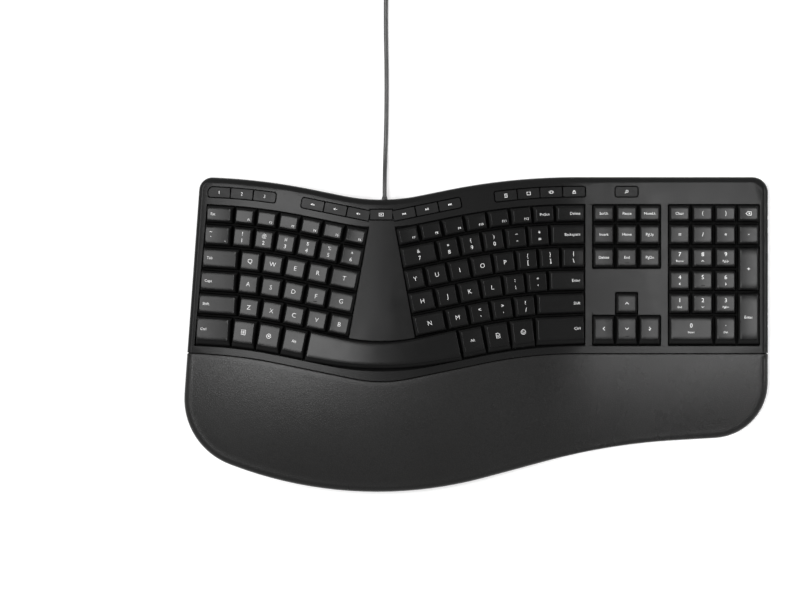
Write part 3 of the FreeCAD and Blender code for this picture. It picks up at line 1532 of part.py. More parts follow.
tail_way = (TAIL_ROUTE[-1] - TAIL_ROUTE[-2]).normalize()
tail_turn = Rotation(Vector(1, 0, 0), tail_way)
grip = new_body("plug_grip")
grip_plan = sketch_on(grip, "YZ_Plane", "grip_section")
draw_rectangle(grip_plan, "Sizes.grip_width", "Sizes.grip_height")
grip_pad = pad(grip, grip_plan, "grip_block", "Sizes.grip_length")
doc.recompute()
rounding = grip.newObject("PartDesign::Fillet", "grip_rounding")
long_edges = ["Edge%d" % (index + 1) for index, edge in enumerate(grip_pad.Shape.Edges)
              if edge.BoundBox.XLength > 1]
rounding.Base = (grip_pad, long_edges)
rounding.setExpression("Radius", "Sizes.grip_rounding")
put(grip, *TAIL_ROUTE[-1], tail_turn)

shell_block = bound("Part::Box", "plug_shell_block", Length="Sizes.plug_length", Width="Sizes.plug_width",
                    Height="Sizes.plug_height")
shell_start = TAIL_ROUTE[-1] + tail_way * size("grip_length")
shell_local = Placement(Vector(0, -size("plug_width") / 2, -size("plug_height") / 2), Rotation())
shell_block.Placement = Placement(shell_start, tail_turn).multiply(shell_local)
shell_bore = bound("Part::Box", "plug_shell_bore", Length="Sizes.plug_length",
                   Width="Sizes.plug_width - 2 * Sizes.plug_skin",
                   Height="Sizes.plug_height - 2 * Sizes.plug_skin")
bore_local = Placement(Vector(size("plug_block"), size("plug_skin") - size("plug_width") / 2,
                              size("plug_skin") - size("plug_height") / 2), Rotation())
shell_bore.Placement = Placement(shell_start, tail_turn).multiply(bore_local)
plug_shell = doc.addObject("Part::Cut", "plug_shell")
plug_shell.Base = shell_block
plug_shell.Tool = shell_bore


# Caps lock lamp: a small lens let into the cap's far right corner

caps_lock = caps["caps_lock_key"][0]
caps_place = caps_lock.Placement
lamp_inset = size("lamp_inset")
lamp_spot = Vector(size("caps_lock_width") / 2 - lamp_inset, LETTER / 2 - lamp_inset,
                   RISE - size("cap_roof") - SINK)
lamp_hole = Part.makeCylinder(size("lamp_radius") + size("lamp_gap"), size("cap_roof") + 2, lamp_spot)
lamp_hole.Placement = caps_place
caps["caps_lock_key"] = [caps_lock.cut(lamp_hole)]
lens = doc.addObject("Part::Cylinder", "caps_lock_lamp")
lens.setExpression("Radius", "Sizes.lamp_radius")
lens.setExpression("Height", "Sizes.cap_roof + 2 * Sizes.lamp_gap")
lens.Placement = caps_place.multiply(Placement(lamp_spot + Vector(0, 0, 0.3), Rotation()))


# Every other piece goes into the document as its own feature

for node, shape in nodes.items():
    feature = doc.addObject("Part::Feature", node)
    feature.Shape = shape
for node, shapes in caps.items():
    feature = doc.addObject("Part::Feature", node)
    feature.Shape = shapes[0] if len(shapes) == 1 else Part.makeCompound(shapes)
doc.recompute()

DRAWN = [
    "left_flip_leg", "right_flip_leg", "rubber_feet", "case_screws", "controller_board",
    "board_components", "cable_boot", "coil_tie", "plug_grip", "plug_shell", "caps_lock_lamp",
]

for item in doc.Objects:
    if "Invalid" in item.State or "Error" in item.State:
        raise RuntimeError("%s: %s" % (item.Label, item.State))
for node in list(nodes) + list(caps) + DRAWN:
    shape = doc.getObject(node).Shape
    if shape.isNull() or not shape.isValid():
        raise RuntimeError("%s has no valid shape" % node)

os.makedirs("parts", exist_ok=True)
for node in list(nodes) + list(caps) + DRAWN:
    shape = doc.getObject(node).Shape
    shape.exportStep("parts/%s.step" % node)
    print("%s: %d solids, %d faces" % (node, len(shape.Solids), len(shape.Faces)))
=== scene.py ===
import functools
import math

import bpy
import numpy as np
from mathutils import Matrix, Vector, geometry


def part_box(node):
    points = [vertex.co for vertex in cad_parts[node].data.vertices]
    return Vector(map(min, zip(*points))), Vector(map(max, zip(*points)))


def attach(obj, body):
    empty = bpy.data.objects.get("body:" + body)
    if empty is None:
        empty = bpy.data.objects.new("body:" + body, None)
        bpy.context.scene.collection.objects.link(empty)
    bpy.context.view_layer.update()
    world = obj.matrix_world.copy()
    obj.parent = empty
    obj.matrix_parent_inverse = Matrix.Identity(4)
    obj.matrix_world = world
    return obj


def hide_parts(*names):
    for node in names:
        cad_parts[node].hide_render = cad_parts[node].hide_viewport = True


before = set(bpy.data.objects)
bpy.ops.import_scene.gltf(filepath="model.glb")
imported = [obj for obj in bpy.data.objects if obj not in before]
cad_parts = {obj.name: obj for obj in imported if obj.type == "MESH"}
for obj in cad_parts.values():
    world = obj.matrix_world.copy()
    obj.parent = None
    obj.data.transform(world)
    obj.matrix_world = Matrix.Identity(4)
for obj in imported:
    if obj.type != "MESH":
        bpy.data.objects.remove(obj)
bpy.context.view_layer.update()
MM = 0.001


# Camera: straight above the desk, with a long lens

PICTURE_WIDTH = 800
# what one pixel covers at the level that the camera is set for
PIXEL = 0.8283 * MM
SIGHT_LEVEL = 24 * MM
SIGHT_CENTRE = (-63.2 * MM, 28.6 * MM)
LENS = 200.0
SENSOR = 36.0
FARTHEST_SEEN = 50.0


def add_object(name, data):
    """A new object in the scene."""
    added = bpy.data.objects.new(name, data)
    bpy.context.scene.collection.objects.link(added)
    return added


def set_up_camera():
    data = bpy.data.cameras.new("camera")
    data.lens = LENS
    data.sensor_width = SENSOR
    data.clip_end = FARTHEST_SEEN
    camera = add_object("camera", data)
    distance = PICTURE_WIDTH * PIXEL * LENS / SENSOR
    camera.location = (*SIGHT_CENTRE, SIGHT_LEVEL + distance)
    bpy.context.scene.camera = camera


set_up_camera()


# Shader nodes

# the colour sockets of the Mix node, whose names it also gives to its other sockets
MIX_LOW, MIX_HIGH, MIX_COLOR = 6, 7, 2


class Nodes:
    """Adds and joins nodes of one tree."""

    def __init__(self, tree):
        self.tree = tree

    def add(self, kind, settings=(), **inputs):
        """A new node. An input goes by its name, or by i and its number."""
        node = self.tree.nodes.new("ShaderNode" + kind)
        for name, value in dict(settings).items():
            setattr(node, name, value)
        for name, value in inputs.items():
            numbered = name[0] == "i" and name[1:].isdigit()
            self.put(node.inputs[int(name[1:]) if numbered else name], value)
        return node

    def put(self, socket, value):
        if isinstance(value, bpy.types.NodeSocket):
            self.tree.links.new(value, socket)
        else:
            socket.default_value = value

    def math(self, operation, a, b):
        return self.add("Math", {"operation": operation}, i0=a, i1=b).outputs[0]

    def scaled(self, value, factor):
        return self.math("MULTIPLY", value, factor)

    def weigh(self, first, share, second):
        """The first value by its share, and the second by the rest."""
        return self.math("ADD", self.scaled(first, share), self.scaled(second, 1 - share))

    def noise(self, place, scale, **inputs):
        return self.add("TexNoise", Vector=place, Scale=scale, **inputs).outputs[0]

    def blend(self, share, low, high):
        """Colour between two colours."""
        node = self.add("Mix", {"data_type": "RGBA"}, Factor=share)
        self.put(node.inputs[MIX_LOW], low)
        self.put(node.inputs[MIX_HIGH], high)
        return node.outputs[MIX_COLOR]

    def span(self, value, low, high, to_low=0.0, to_high=1.0):
        """A value's range carried over to another one, and held to it."""
        ends = {"From Min": low, "From Max": high, "To Min": to_low, "To Max": to_high}
        return self.add("MapRange", {"clamp": True}, Value=value, **ends).outputs[0]


def fresh_nodes(owner):
    """The emptied node tree of a new material or world."""
    owner.use_nodes = True
    owner.node_tree.nodes.clear()
    return Nodes(owner.node_tree)


# Shared surface effects, each a node group

def new_group(name, values, outputs):
    """An empty group that takes a place and the named values."""
    tree = bpy.data.node_groups.new(name, "ShaderNodeTree")
    tree.interface.new_socket("Place", in_out="INPUT", socket_type="NodeSocketVector")
    for label, value in values.items():
        socket = tree.interface.new_socket(label, in_out="INPUT", socket_type="NodeSocketFloat")
        socket.default_value = value
    for label in outputs:
        tree.interface.new_socket(label, in_out="OUTPUT", socket_type="NodeSocketFloat")
    given = tree.nodes.new("NodeGroupInput").outputs
    out = tree.nodes.new("NodeGroupOutput").inputs
    return Nodes(tree), given, out


def moulded_grain():
    """The fine matt grain of moulded plastic, with a slow drift of tone."""
    nodes, given, out = new_group("moulded_grain", {"Scale": 1400.0, "Drift": 18.0}, ["Height", "Tone"])
    fine = nodes.noise(given["Place"], given["Scale"], Detail=3.0, Roughness=0.6)
    pits = nodes.add("TexVoronoi", Vector=given["Place"], Scale=given["Scale"]).outputs[0]
    slow = nodes.noise(given["Place"], given["Drift"], Detail=4.0, Roughness=0.55)
    nodes.put(out["Height"], nodes.weigh(fine, 0.7, pits))
    nodes.put(out["Tone"], nodes.weigh(slow, 0.75, fine))
    return nodes.tree


def leather_grain():
    """Small rounded cells with creases between them, as on leatherette."""
    bend = 2.2 * MM
    crease_width = 0.22
    nodes, given, out = new_group("leather_grain", {"Scale": 620.0, "Drift": 9.0},
                                  ["Height", "Tone", "CreaseShade"])
    place, scale = given["Place"], given["Scale"]
    waves = nodes.add("TexNoise", Vector=place, Scale=nodes.scaled(scale, 0.35), Detail=3.0)
    push = nodes.add("VectorMath", {"operation": "SCALE"}, i0=waves.outputs["Color"], Scale=bend)
    bent = nodes.add("VectorMath", {"operation": "ADD"}, i0=place, i1=push.outputs[0])
    cells = nodes.add("TexVoronoi", {"feature": "DISTANCE_TO_EDGE"}, Vector=bent.outputs[0], Scale=scale)
    swell = nodes.span(cells.outputs[0], 0.0, crease_width)
    fine = nodes.noise(place, nodes.scaled(scale, 2.3), Detail=2.0)
    nodes.put(out["Height"], nodes.weigh(swell, 0.75, fine))
    nodes.put(out["Tone"], nodes.noise(place, given["Drift"], Detail=3.0, Roughness=0.5))
    # the mask of the creases, which the leather darkens as painted shade
    nodes.put(out["CreaseShade"], nodes.math("SUBTRACT", 1.0, swell))
    return nodes.tree


def touch_marks():
    """Soft patches where hands have polished the surface, and specks of dust."""
    nodes, given, out = new_group("touch_marks", {"Scale": 40.0}, ["Polish", "Dust"])
    place, scale = given["Place"], given["Scale"]
    patches = nodes.noise(place, scale, Detail=5.0, Roughness=0.62, Distortion=0.4)
    specks = nodes.noise(place, nodes.scaled(scale, 38.0), Detail=1.0)
    nodes.put(out["Polish"], nodes.span(patches, 0.42, 0.68))
    nodes.put(out["Dust"], nodes.span(specks, 0.70, 0.80))
    return nodes.tree


GROUPS = {"moulded_grain": moulded_grain(), "leather_grain": leather_grain(), "touch_marks": touch_marks()}


def use_group(nodes, name, **inputs):
    return nodes.add("Group", {"node_tree": GROUPS[name]}, **inputs).outputs


# Materials

def grey(level, warm=0.0):
    return (level * (1 + warm), level, level * (1 - warm), 1.0)


def start_material(name):
    material = bpy.data.materials.new(name)
    nodes = fresh_nodes(material)
    shader = nodes.add("BsdfPrincipled")
    nodes.add("OutputMaterial", Surface=shader.outputs[0])
    place = nodes.add("TexCoord").outputs["Object"]
    return material, nodes, shader, place


def mottle(nodes, tone, dark, light):
    """A colour that follows the middle range of a noise."""
    return nodes.blend(nodes.span(tone, 0.3, 0.7), dark, light)


def polished(nodes, marks, rough, polish):
    """Roughness that hands have lowered in patches."""
    return nodes.span(marks["Polish"], 0.0, 1.0, rough, rough - polish)


def coat(nodes, shader, color, rough, height, strength, depth):
    """Gives the shader its colour, roughness and bump."""
    nodes.put(shader.inputs["Base Color"], color)
    nodes.put(shader.inputs["Roughness"], rough)
    bump = nodes.add("Bump", Height=height, Strength=strength, Distance=depth)
    nodes.put(shader.inputs["Normal"], bump.outputs[0])


def plastic(name, level, rough, grain=1400.0, depth=0.02 * MM, polish=0.08, drift=18.0, specular=0.5):
    """Moulded plastic: a grained, slightly uneven grey with a little dust."""
    swing = 0.14
    dust_cover = 0.25
    material, nodes, shader, place = start_material(name)
    grained = use_group(nodes, "moulded_grain", Place=place, Scale=grain, Drift=drift)
    marks = use_group(nodes, "touch_marks", Place=place)
    clean = mottle(nodes, grained["Tone"], grey(level * (1 - swing)), grey(level * (1 + swing)))
    color = nodes.blend(nodes.scaled(marks["Dust"], dust_cover), clean, grey(level * 2.2 + 0.01))
    coat(nodes, shader, color, polished(nodes, marks, rough, polish), grained["Height"], 0.5, depth)
    shader.inputs["Specular IOR Level"].default_value = specular
    return material


def leatherette(name, level, rough=0.30, polish=0.04, depth=0.06 * MM, specular=0.16):
    """Artificial leather: warm cells, with painted shade darkening the creases between them."""
    swing = 0.18
    crease_shade_cover = 0.55
    material, nodes, shader, place = start_material(name)
    grained = use_group(nodes, "leather_grain", Place=place)
    marks = use_group(nodes, "touch_marks", Place=place, Scale=14.0)
    cells = mottle(nodes, grained["Tone"], grey(level * (1 - swing), 0.02), grey(level * (1 + swing), 0.01))
    # painted shade: the creases are darkened towards a third of the cells' tone
    color = nodes.blend(nodes.scaled(grained["CreaseShade"], crease_shade_cover), cells, grey(level * 0.35))
    coat(nodes, shader, color, polished(nodes, marks, rough, polish), grained["Height"], 0.6, depth)
    shader.inputs["Specular IOR Level"].default_value = specular
    return material


def brushed_metal(name, level, rough, polish=0.08, depth=0.01 * MM):
    """Metal with fine lines that run along the keyboard's width."""
    stretch = (8.0, 900.0, 900.0)
    material, nodes, shader, place = start_material(name)
    along = nodes.add("VectorMath", {"operation": "MULTIPLY"}, i0=place, i1=stretch)
    lines = nodes.noise(along.outputs[0], 1.0, Detail=4.0)
    marks = use_group(nodes, "touch_marks", Place=place)
    color = mottle(nodes, lines, grey(level * 0.85), grey(level * 1.1))
    coat(nodes, shader, color, polished(nodes, marks, rough, polish), lines, 0.3, depth)
    shader.inputs["Metallic"].default_value = 1.0
    return material


def tinted(name, color, rough, grain=500.0, polish=0.06, depth=0.02 * MM):
    """A coloured inner part: circuit board, film, dome rubber or lamp lens."""
    material, nodes, shader, place = start_material(name)
    grained = use_group(nodes, "moulded_grain", Place=place, Scale=grain)
    dark = tuple(c * 0.82 for c in color) + (1.0,)
    light = tuple(min(c * 1.12, 1.0) for c in color) + (1.0,)
    uneven = nodes.span(grained["Tone"], 0.3, 0.7, rough, rough - polish)
    coat(nodes, shader, mottle(nodes, grained["Tone"], dark, light), uneven, grained["Height"], 0.3, depth)
    return material


MATERIALS = {
    "case": plastic("case_plastic", 0.008, 0.23, grain=1500.0, depth=0.006 * MM, polish=0.04, specular=0.08),
    "base": plastic("base_plastic", 0.012, 0.50, grain=900.0, specular=0.12),
    "key": plastic("key_plastic", 0.0045, 0.20, grain=2000.0, depth=0.004 * MM, polish=0.04, drift=60.0,
                   specular=0.10),
    # the caps' walls, hollows and stems: a lighter, matt copy of the cap plastic, whose tone is painted
    # light on the walls
    "cap_side_painted_light": plastic("cap_side_painted_light_plastic", 0.019, 0.60, grain=1600.0, specular=0.01),
    "hot_key": plastic("hot_key_plastic", 0.011, 0.34, grain=1800.0, depth=0.008 * MM, drift=50.0,
                       specular=0.08),
    # darker than the case: the real black of the board's chips, and painted shade on the key frame in the
    # wells between the caps
    "inner": plastic("inner_plastic", 0.003, 0.70, grain=900.0, specular=0.04),
    "legend": plastic("legend_ink", 0.88, 0.60, grain=2600.0, depth=0.004 * MM, polish=0.03),
    "leather": leatherette("palm_leather", 0.012),
    "rubber": plastic("foot_rubber", 0.012, 0.75, grain=700.0, depth=0.04 * MM),
    "cord": plastic("cord_jacket", 0.016, 0.42, grain=1200.0, depth=0.01 * MM),
    "tie": plastic("tie_plastic", 0.014, 0.6, grain=1600.0, depth=0.04 * MM),
    "grip": plastic("grip_plastic", 0.016, 0.5, grain=1500.0),
    "steel": brushed_metal("screw_steel", 0.45, 0.36),
    "plug": brushed_metal("plug_metal", 0.62, 0.28),
    "plate": brushed_metal("plate_metal", 0.55, 0.4),
    "board": tinted("board_laminate", (0.02, 0.14, 0.05), 0.4),
    "film": tinted("membrane_film", (0.55, 0.58, 0.55), 0.35),
    "silicone": tinted("dome_rubber", (0.5, 0.5, 0.47), 0.5),
    "lens": tinted("lamp_lens", (0.30, 0.42, 0.34), 0.25),
}

# the nodes that keep their solids, by finish
FINISH_NODES = {
    "case": "top_case", "base": "bottom_case left_flip_leg right_flip_leg",
    # the key frame's inner plastic is darkened as painted shade in the wells
    "inner": "key_frame palm_rest_base board_components", "silicone": "rubber_dome_sheet",
    "film": "membrane_sheet", "plate": "backing_plate", "rubber": "rubber_feet", "steel": "case_screws",
    "board": "controller_board", "cord": "cable_boot", "tie": "coil_tie", "grip": "plug_grip",
    "plug": "plug_shell", "lens": "caps_lock_lamp",
    "hot_key": "shortcut_keys media_keys tool_keys search_key",
}


def give_finish(piece, finish):
    piece.data.materials.clear()
    piece.data.materials.append(MATERIALS[finish])


for finish, nodes_of_finish in FINISH_NODES.items():
    for node in nodes_of_finish.split():
        give_finish(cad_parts[node], finish)


# Reading the solids of the frame

WELD = 0.002 * MM
# the least upward share of a normal on a cap's top face
FACING_UP = 0.93
# a cap's top face is squared up by turns of up to 20 degrees, a tenth of a degree apart
TURNS = [math.radians(tenths / 10) for tenths in range(-200, 201)]
FOOT_TOLERANCE = 0.05 * MM
ROW_GAP = 6 * MM


def solids_in(node):
    """The separate solids of a node, each as its corner points and triangles."""
    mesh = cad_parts[node].data
    mesh.calc_loop_triangles()
    points = np.array([v.co[:] for v in mesh.vertices])
    cells = np.round(points / WELD).astype(np.int64)
    _, first, merged = np.unique(cells, axis=0, return_index=True, return_inverse=True)
    points = points[first]
    corners = merged.reshape(-1)[np.array([t.vertices[:] for t in mesh.loop_triangles])]
    label = np.arange(len(points))
    settled = False
    while not settled:
        before = label.copy()
        lowest = label[corners].min(axis=1)
        for column in range(3):
            np.minimum.at(label, corners[:, column], lowest)
        label = label[label]
        settled = (label == before).all()
    owner = label[corners[:, 0]]
    return [(points, corners[owner == solid]) for solid in np.unique(owner)]


def unit(vector):
    return vector / np.linalg.norm(vector)


def run_along(line):
    """How far along a line each of its points lies."""
    return np.concatenate([[0], np.cumsum(np.linalg.norm(np.diff(line, axis=0), axis=1))])


def top_triangles(points, corners):
    """The triangles that face up, and the sum of their normals."""
    a, b, c = (points[corners[:, k]] for k in range(3))
    normals = np.cross(b - a, c - a)
    level = normals[:, 2] > FACING_UP * np.linalg.norm(normals, axis=1)
    return corners[level], normals[level].sum(axis=0)


def rim_of(triangles, least):
    """The closed edge of joined triangles as point numbers, from the point that is least by a measure."""
    edges = {edge: True for a, b, c in triangles for edge in ((a, b), (b, c), (c, a))}
    following = {a: b for a, b in edges if (b, a) not in edges}
    loop = [min(following, key=least)]
    while following[loop[-1]] != loop[0]:
        loop.append(following[loop[-1]])
    return loop


def turned(flat, turn):
    """Places in a plane, measured along axes that are turned by an angle."""
    c, s = math.cos(turn), math.sin(turn)
    return np.stack([flat @ (c, s), flat @ (-s, c)], axis=1)


class CapFrame:
    """Where one cap stands: the middle of its top face, its axes, and how far it reaches."""

    def __init__(self, points, corners):
        top, up = top_triangles(points, corners)
        up = unit(up)
        face = points[np.unique(top)]
        east = unit(np.array([1.0, 0, 0]) - up * up[0])
        north = np.cross(up, east)
        flat = np.stack([face @ east, face @ north], axis=1)
        turn = min(TURNS, key=lambda turn: np.prod(np.ptp(turned(flat, turn), axis=0)))
        square = turned(flat, turn)
        self.width, self.depth = np.ptp(square, axis=0)
        x, y = (square.min(axis=0) + square.max(axis=0)) / 2
        c, s = math.cos(turn), math.sin(turn)
        self.axes = np.stack([east * c + north * s, north * c - east * s, up])
        self.centre = (x, y, (face @ up).max()) @ self.axes
        local = (points[np.unique(corners)] - self.centre) @ self.axes.T
        right, front, back = local[:, 0].max(), -local[:, 1].min(), local[:, 1].max()
        self.reach = (right, front, back)
        self.foot = local[local[:, 0] > right - FOOT_TOLERANCE][:, 2].min()

    def world(self, local):
        return self.centre + np.asarray(local) @ self.axes


def in_rows(caps):
    """The caps of a node in rows from back to front, each from left to right."""
    rows = []
    for cap in sorted(caps, key=lambda cap: -cap.centre[1]):
        if rows and rows[-1][-1].centre[1] - cap.centre[1] < ROW_GAP:
            rows[-1].append(cap)
        else:
            rows.append([cap])
    return [sorted(row, key=lambda cap: cap.centre[0]) for row in rows]


def read_caps(node):
    return in_rows([CapFrame(points, corners) for points, corners in solids_in(node)])


# Meshes

class MeshMaker:
    """Collects points and faces of one piece."""

    def __init__(self):
        self.points = []
        self.faces = []
        self.finishes = []

    def add(self, points, faces, second_faces=()):
        """Adds a shape; the second faces get the second finish."""
        start = len(self.points)
        self.points += [tuple(p) for p in points]
        for index, group in enumerate((faces, second_faces)):
            self.faces += [tuple(start + i for i in face) for face in group]
            self.finishes += [index] * len(group)

    def piece(self, name, *finishes, smooth=True):
        mesh = bpy.data.meshes.new(name)
        mesh.from_pydata(self.points, [], self.faces)
        for finish in finishes:
            mesh.materials.append(MATERIALS[finish])
        for polygon, index in zip(mesh.polygons, self.finishes):
            polygon.use_smooth = smooth
            polygon.material_index = index
        mesh.update()
        return add_object(name, mesh)


def bridge(lower, upper, count):
    """Quads from a closed loop of points up to another, given by their first points."""
    return [(lower + i, lower + (i + 1) % count, upper + (i + 1) % count, upper + i) for i in range(count)]


def sleeve(first, last, count):
    """Quads up through a stack of closed loops, from one loop's number to another's."""
    starts = range(first * count, last * count, count)
    return [face for start in starts for face in bridge(start, start + count, count)]


def block(levels):
    """A closed block with a rectangle at each level: half its width, half its depth and its height."""
    points = []
    for x, y, z in levels:
        points += [(-x, -y, z), (x, -y, z), (x, y, z), (-x, y, z)]
    top = len(points) - 4
    return points, sleeve(0, len(levels) - 1, 4) + [(3, 2, 1, 0), (top, top + 1, top + 2, top + 3)]


# What each key says

def letters(corners, *rows):
    """A column of the letter field: function keys, then letters and pairs of an upper and a lower sign."""
    legends = [[("corner", text) for text in corners.split()]]
    for row in rows:
        legends.append([("letter", text) if len(text) == 1 else ("pair", *text) for text in row.split()])
    return legends


def each(kind, text):
    """A row of legends of one kind."""
    return [(kind, part) for part in text.split()]


# each key's legend is a kind, then its words or symbols
LEGENDS = {
    "escape_key": [[("start_word", "Esc")]],
    "accent_key": [[("accent", "~", "`")]],
    "tab_key": [[("start_word", "Tab")]],
    "caps_lock_key": [[("start_word", "Caps")]],
    "left_shift_key": [[("start_word", "Shift")]],
    "left_ctrl_key": [[("start_word", "Ctrl")]],
    "left_modifier_keys": [[("symbol", "menu"), ("symbol", "start"), ("middle_word", "Alt")]],
    "q_column_keys": letters("F1", "!1", "Q", "A", "Z"),
    "w_column_keys": letters("F2", "@2", "W", "S", "X"),
    "e_column_keys": letters("F3", "#3", "E", "D", "C"),
    "r_column_keys": letters("F4", "$4", "R", "F", "V"),
    "t_column_keys": letters("F5 F6", "%5 ^6", "T", "G", "B"),
    "y_column_keys": letters("F7", "&7", "Y", "H", "N"),
    "u_column_keys": letters("F8", "*8", "U", "J", "M"),
    "i_column_keys": letters("F9", "(9", "I", "K", "<,"),
    "o_column_keys": letters("F10", ")0", "O", "L", ">."),
    "p_column_keys": letters("F11", "_-", "P", ":;", "?/"),
    "bracket_column_keys": letters("F12", "+=", "{[", "\"'"),
    "end_column_keys": [[("middle_word", "PrtScn"), ("end_word", "Delete")],
                        [("pair", "}", "]"), ("pair", "|", "\\")]],
    "backspace_key": [[("end_word", "Backspace")]],
    "enter_key": [[("end_word", "Enter")]],
    "right_shift_key": [[("end_word", "Shift")]],
    "right_ctrl_key": [[("end_word", "Ctrl")]],
    "right_modifier_keys": [[("middle_word", "Alt"), ("symbol", "page"), ("symbol", "smile")]],
    "navigation_keys": [each("middle_word", "ScrLk Pause NumLk"), each("middle_word", "Insert Home PgUp"),
                        each("middle_word", "Delete End PgDn")],
    "up_arrow_key": [[("symbol", "up")]],
    "left_arrow_key": [[("symbol", "left")]],
    "down_arrow_key": [[("symbol", "down")]],
    "right_arrow_key": [[("symbol", "right")]],
    "numpad_keys": [
        [("middle_word", "Clear"), ("figure", "("), ("figure", ")"), ("symbol", "erase")],
        each("figure", "= / * -"),
        [("pad", "7", "Home"), ("pad_arrow", "8", "up"), ("pad", "9", "PgUp")],
        [("pad_arrow", "4", "left"), ("high_figure", "5"), ("pad_arrow", "6", "right")],
        [("pad", "1", "End"), ("pad_arrow", "2", "down"), ("pad", "3", "PgDn")],
        [("pad", ".", "Del")]],
    "numpad_zero_key": [[("pad", "0", "Insert")]],
    "numpad_plus_key": [[("figure", "+")]],
    "numpad_enter_key": [[("middle_word", "Enter")]],
    "shortcut_keys": [each("hot_figure", "1 2 3")],
    "media_keys": [each("hot", "mute quieter louder player previous play next")],
    "tool_keys": [each("hot", "calculator snip panes_row lock")],
    "search_key": [[("hot", "search")]],
}

HOT_NODES = ["shortcut_keys", "media_keys", "tool_keys", "search_key"]
KEY_NODES = [node for node in LEGENDS if node not in HOT_NODES]


# Key caps

# how far a cap's top reaches past the flat face of its solid
CAP_EDGE = 0.5 * MM
CAP_ROLL = 0.6 * MM
ROLL_DRAW = 0.9
CAP_CORNER = 1.0 * MM
CAP_FOOT_CORNER = 0.7 * MM
CAP_WALL = 1.2 * MM
CAP_ROOF = 1.5 * MM
CAP_DISH = 0.1 * MM
STEM_WIDE = 4.6 * MM
STEM_DEEP = 5.6 * MM
STEM_REACH = 13.2 * MM
ARC_STEPS = 4
ROLL_STEPS = 4
ROWS = 6
COLUMNS = 6
COLUMN_WIDE = 2.4 * MM


def round_columns(half, radius, columns):
    """Across a rounded rectangle: each column's place and how far the corner draws its ends in."""
    places = []
    for step in range(ARC_STEPS):
        turn = math.pi / 2 * step / ARC_STEPS
        places.append((-half + radius * (1 - math.cos(turn)), radius * (1 - math.sin(turn))))
    for step in range(columns + 1):
        places.append((-half + radius + (2 * half - 2 * radius) * step / columns, 0.0))
    places += [(-x, drawn) for x, drawn in places[ARC_STEPS - 1::-1]]
    return places


def round_loop(half, front, back, radius, columns, level):
    """A rounded rectangle as a loop of points, from its front left corner round by the right."""
    places = round_columns(half, radius, columns)
    low, high = -front + radius, back - radius
    rise = [low + (high - low) * row / ROWS for row in range(1, ROWS)]
    loop = [(x, -front + drawn, level) for x, drawn in places]
    loop += [(half, y, level) for y in rise]
    loop += [(x, back - drawn, level) for x, drawn in places[::-1]]
    loop += [(-half, y, level) for y in rise[::-1]]
    return loop


def sunk(x, half, dish):
    """How far a dished top lies below its sides, at a place across it."""
    return -dish * (1 - min(abs(x) / half, 1.0) ** 2)


def cap_lid(first, start, half, front, back, columns, dish):
    """A cap's top as a grid: its edge is the loop from point first on, its inside new points from start."""
    across = 2 * ARC_STEPS + columns + 1
    ring = [(i, 0) for i in range(across)] + [(across - 1, j) for j in range(1, ROWS)]
    ring += [(i, ROWS) for i in range(across)[::-1]] + [(0, j) for j in range(1, ROWS)[::-1]]
    grid = {place: first + number for number, place in enumerate(ring)}
    points = []
    for i, (x, drawn) in list(enumerate(round_columns(half, CAP_CORNER, columns)))[1:-1]:
        low, high = -front + drawn, back - drawn
        for j in range(1, ROWS):
            grid[i, j] = start + len(points)
            points.append((x, low + (high - low) * j / ROWS, sunk(x, half, dish)))
    faces = [(grid[i, j], grid[i + 1, j], grid[i + 1, j + 1], grid[i, j + 1])
             for i in range(across - 1) for j in range(ROWS)]
    return points, faces


def cap_shape(width, depth, reach, foot, columns=COLUMNS, dish=CAP_DISH):
    """One cap in its own frame: rounded walls, a rolled top edge, a dished top and a hollow underside."""
    top = (width / 2, depth / 2, depth / 2)
    runs = [far - near for far, near in zip(reach, top)]

    def plan(level, drawn_in=0.0):
        """Half the width and the reach to the front and back, at a level of the sloping walls."""
        return [near + run * (level / foot) - drawn_in for near, run in zip(top, runs)]

    levels = [(*plan(foot), CAP_FOOT_CORNER, foot, 0.0),
              (*plan(foot * 0.5), (CAP_FOOT_CORNER + CAP_CORNER) / 2, foot * 0.5, 0.0)]
    for step in range(ROLL_STEPS + 1):
        turn = math.pi / 2 * step / ROLL_STEPS
        drawn_in = CAP_ROLL * ROLL_DRAW * (1 - math.cos(turn))
        levels.append((*plan(-CAP_ROLL, drawn_in), CAP_CORNER, -CAP_ROLL + CAP_ROLL * math.sin(turn),
                       math.sin(turn)))
    points = []
    for half, front, back, corner, level, share in levels:
        loop = round_loop(half, front, back, corner, columns, level)
        points += [(x, y, z + sunk(x, half, dish * share)) for x, y, z in loop]
    count = len(loop)
    last = len(levels) - 1
    sides = sleeve(0, 2, count)
    faces = sleeve(2, last, count)
    lid, lid_faces = cap_lid(last * count, len(points), *levels[-1][:3], columns, dish)
    points += lid
    faces += lid_faces

    inner = len(points)
    for level in (foot, -CAP_ROOF):
        points += round_loop(*plan(level, CAP_WALL), CAP_FOOT_CORNER, columns, level)
    sides += [face[::-1] for face in bridge(0, inner, count) + bridge(inner, inner + count, count)]
    sides.append(tuple(range(inner + count, inner + 2 * count))[::-1])
    return points, faces, sides


def stem_shape():
    return block([(STEM_WIDE / 2, STEM_DEEP / 2, level) for level in (-STEM_REACH, -CAP_ROOF)])


# the caps that carry a homing bar, by row and place in the row
HOMING = {"r_column_keys": [(3, 0)], "u_column_keys": [(3, 0)], "numpad_keys": [(3, 1)],
          "navigation_keys": [(2, 1)], "down_arrow_key": [(0, 0)]}
BAR_WIDE = 3.2 * MM
BAR_DEEP = 0.6 * MM
# its levels from the foot up, and how far its sides are drawn in at each
BAR_LEVELS = ((-0.2 * MM, 0.0), (0.18 * MM, 0.02 * MM), (0.3 * MM, 0.16 * MM))
BAR_INSET = 2.0 * MM


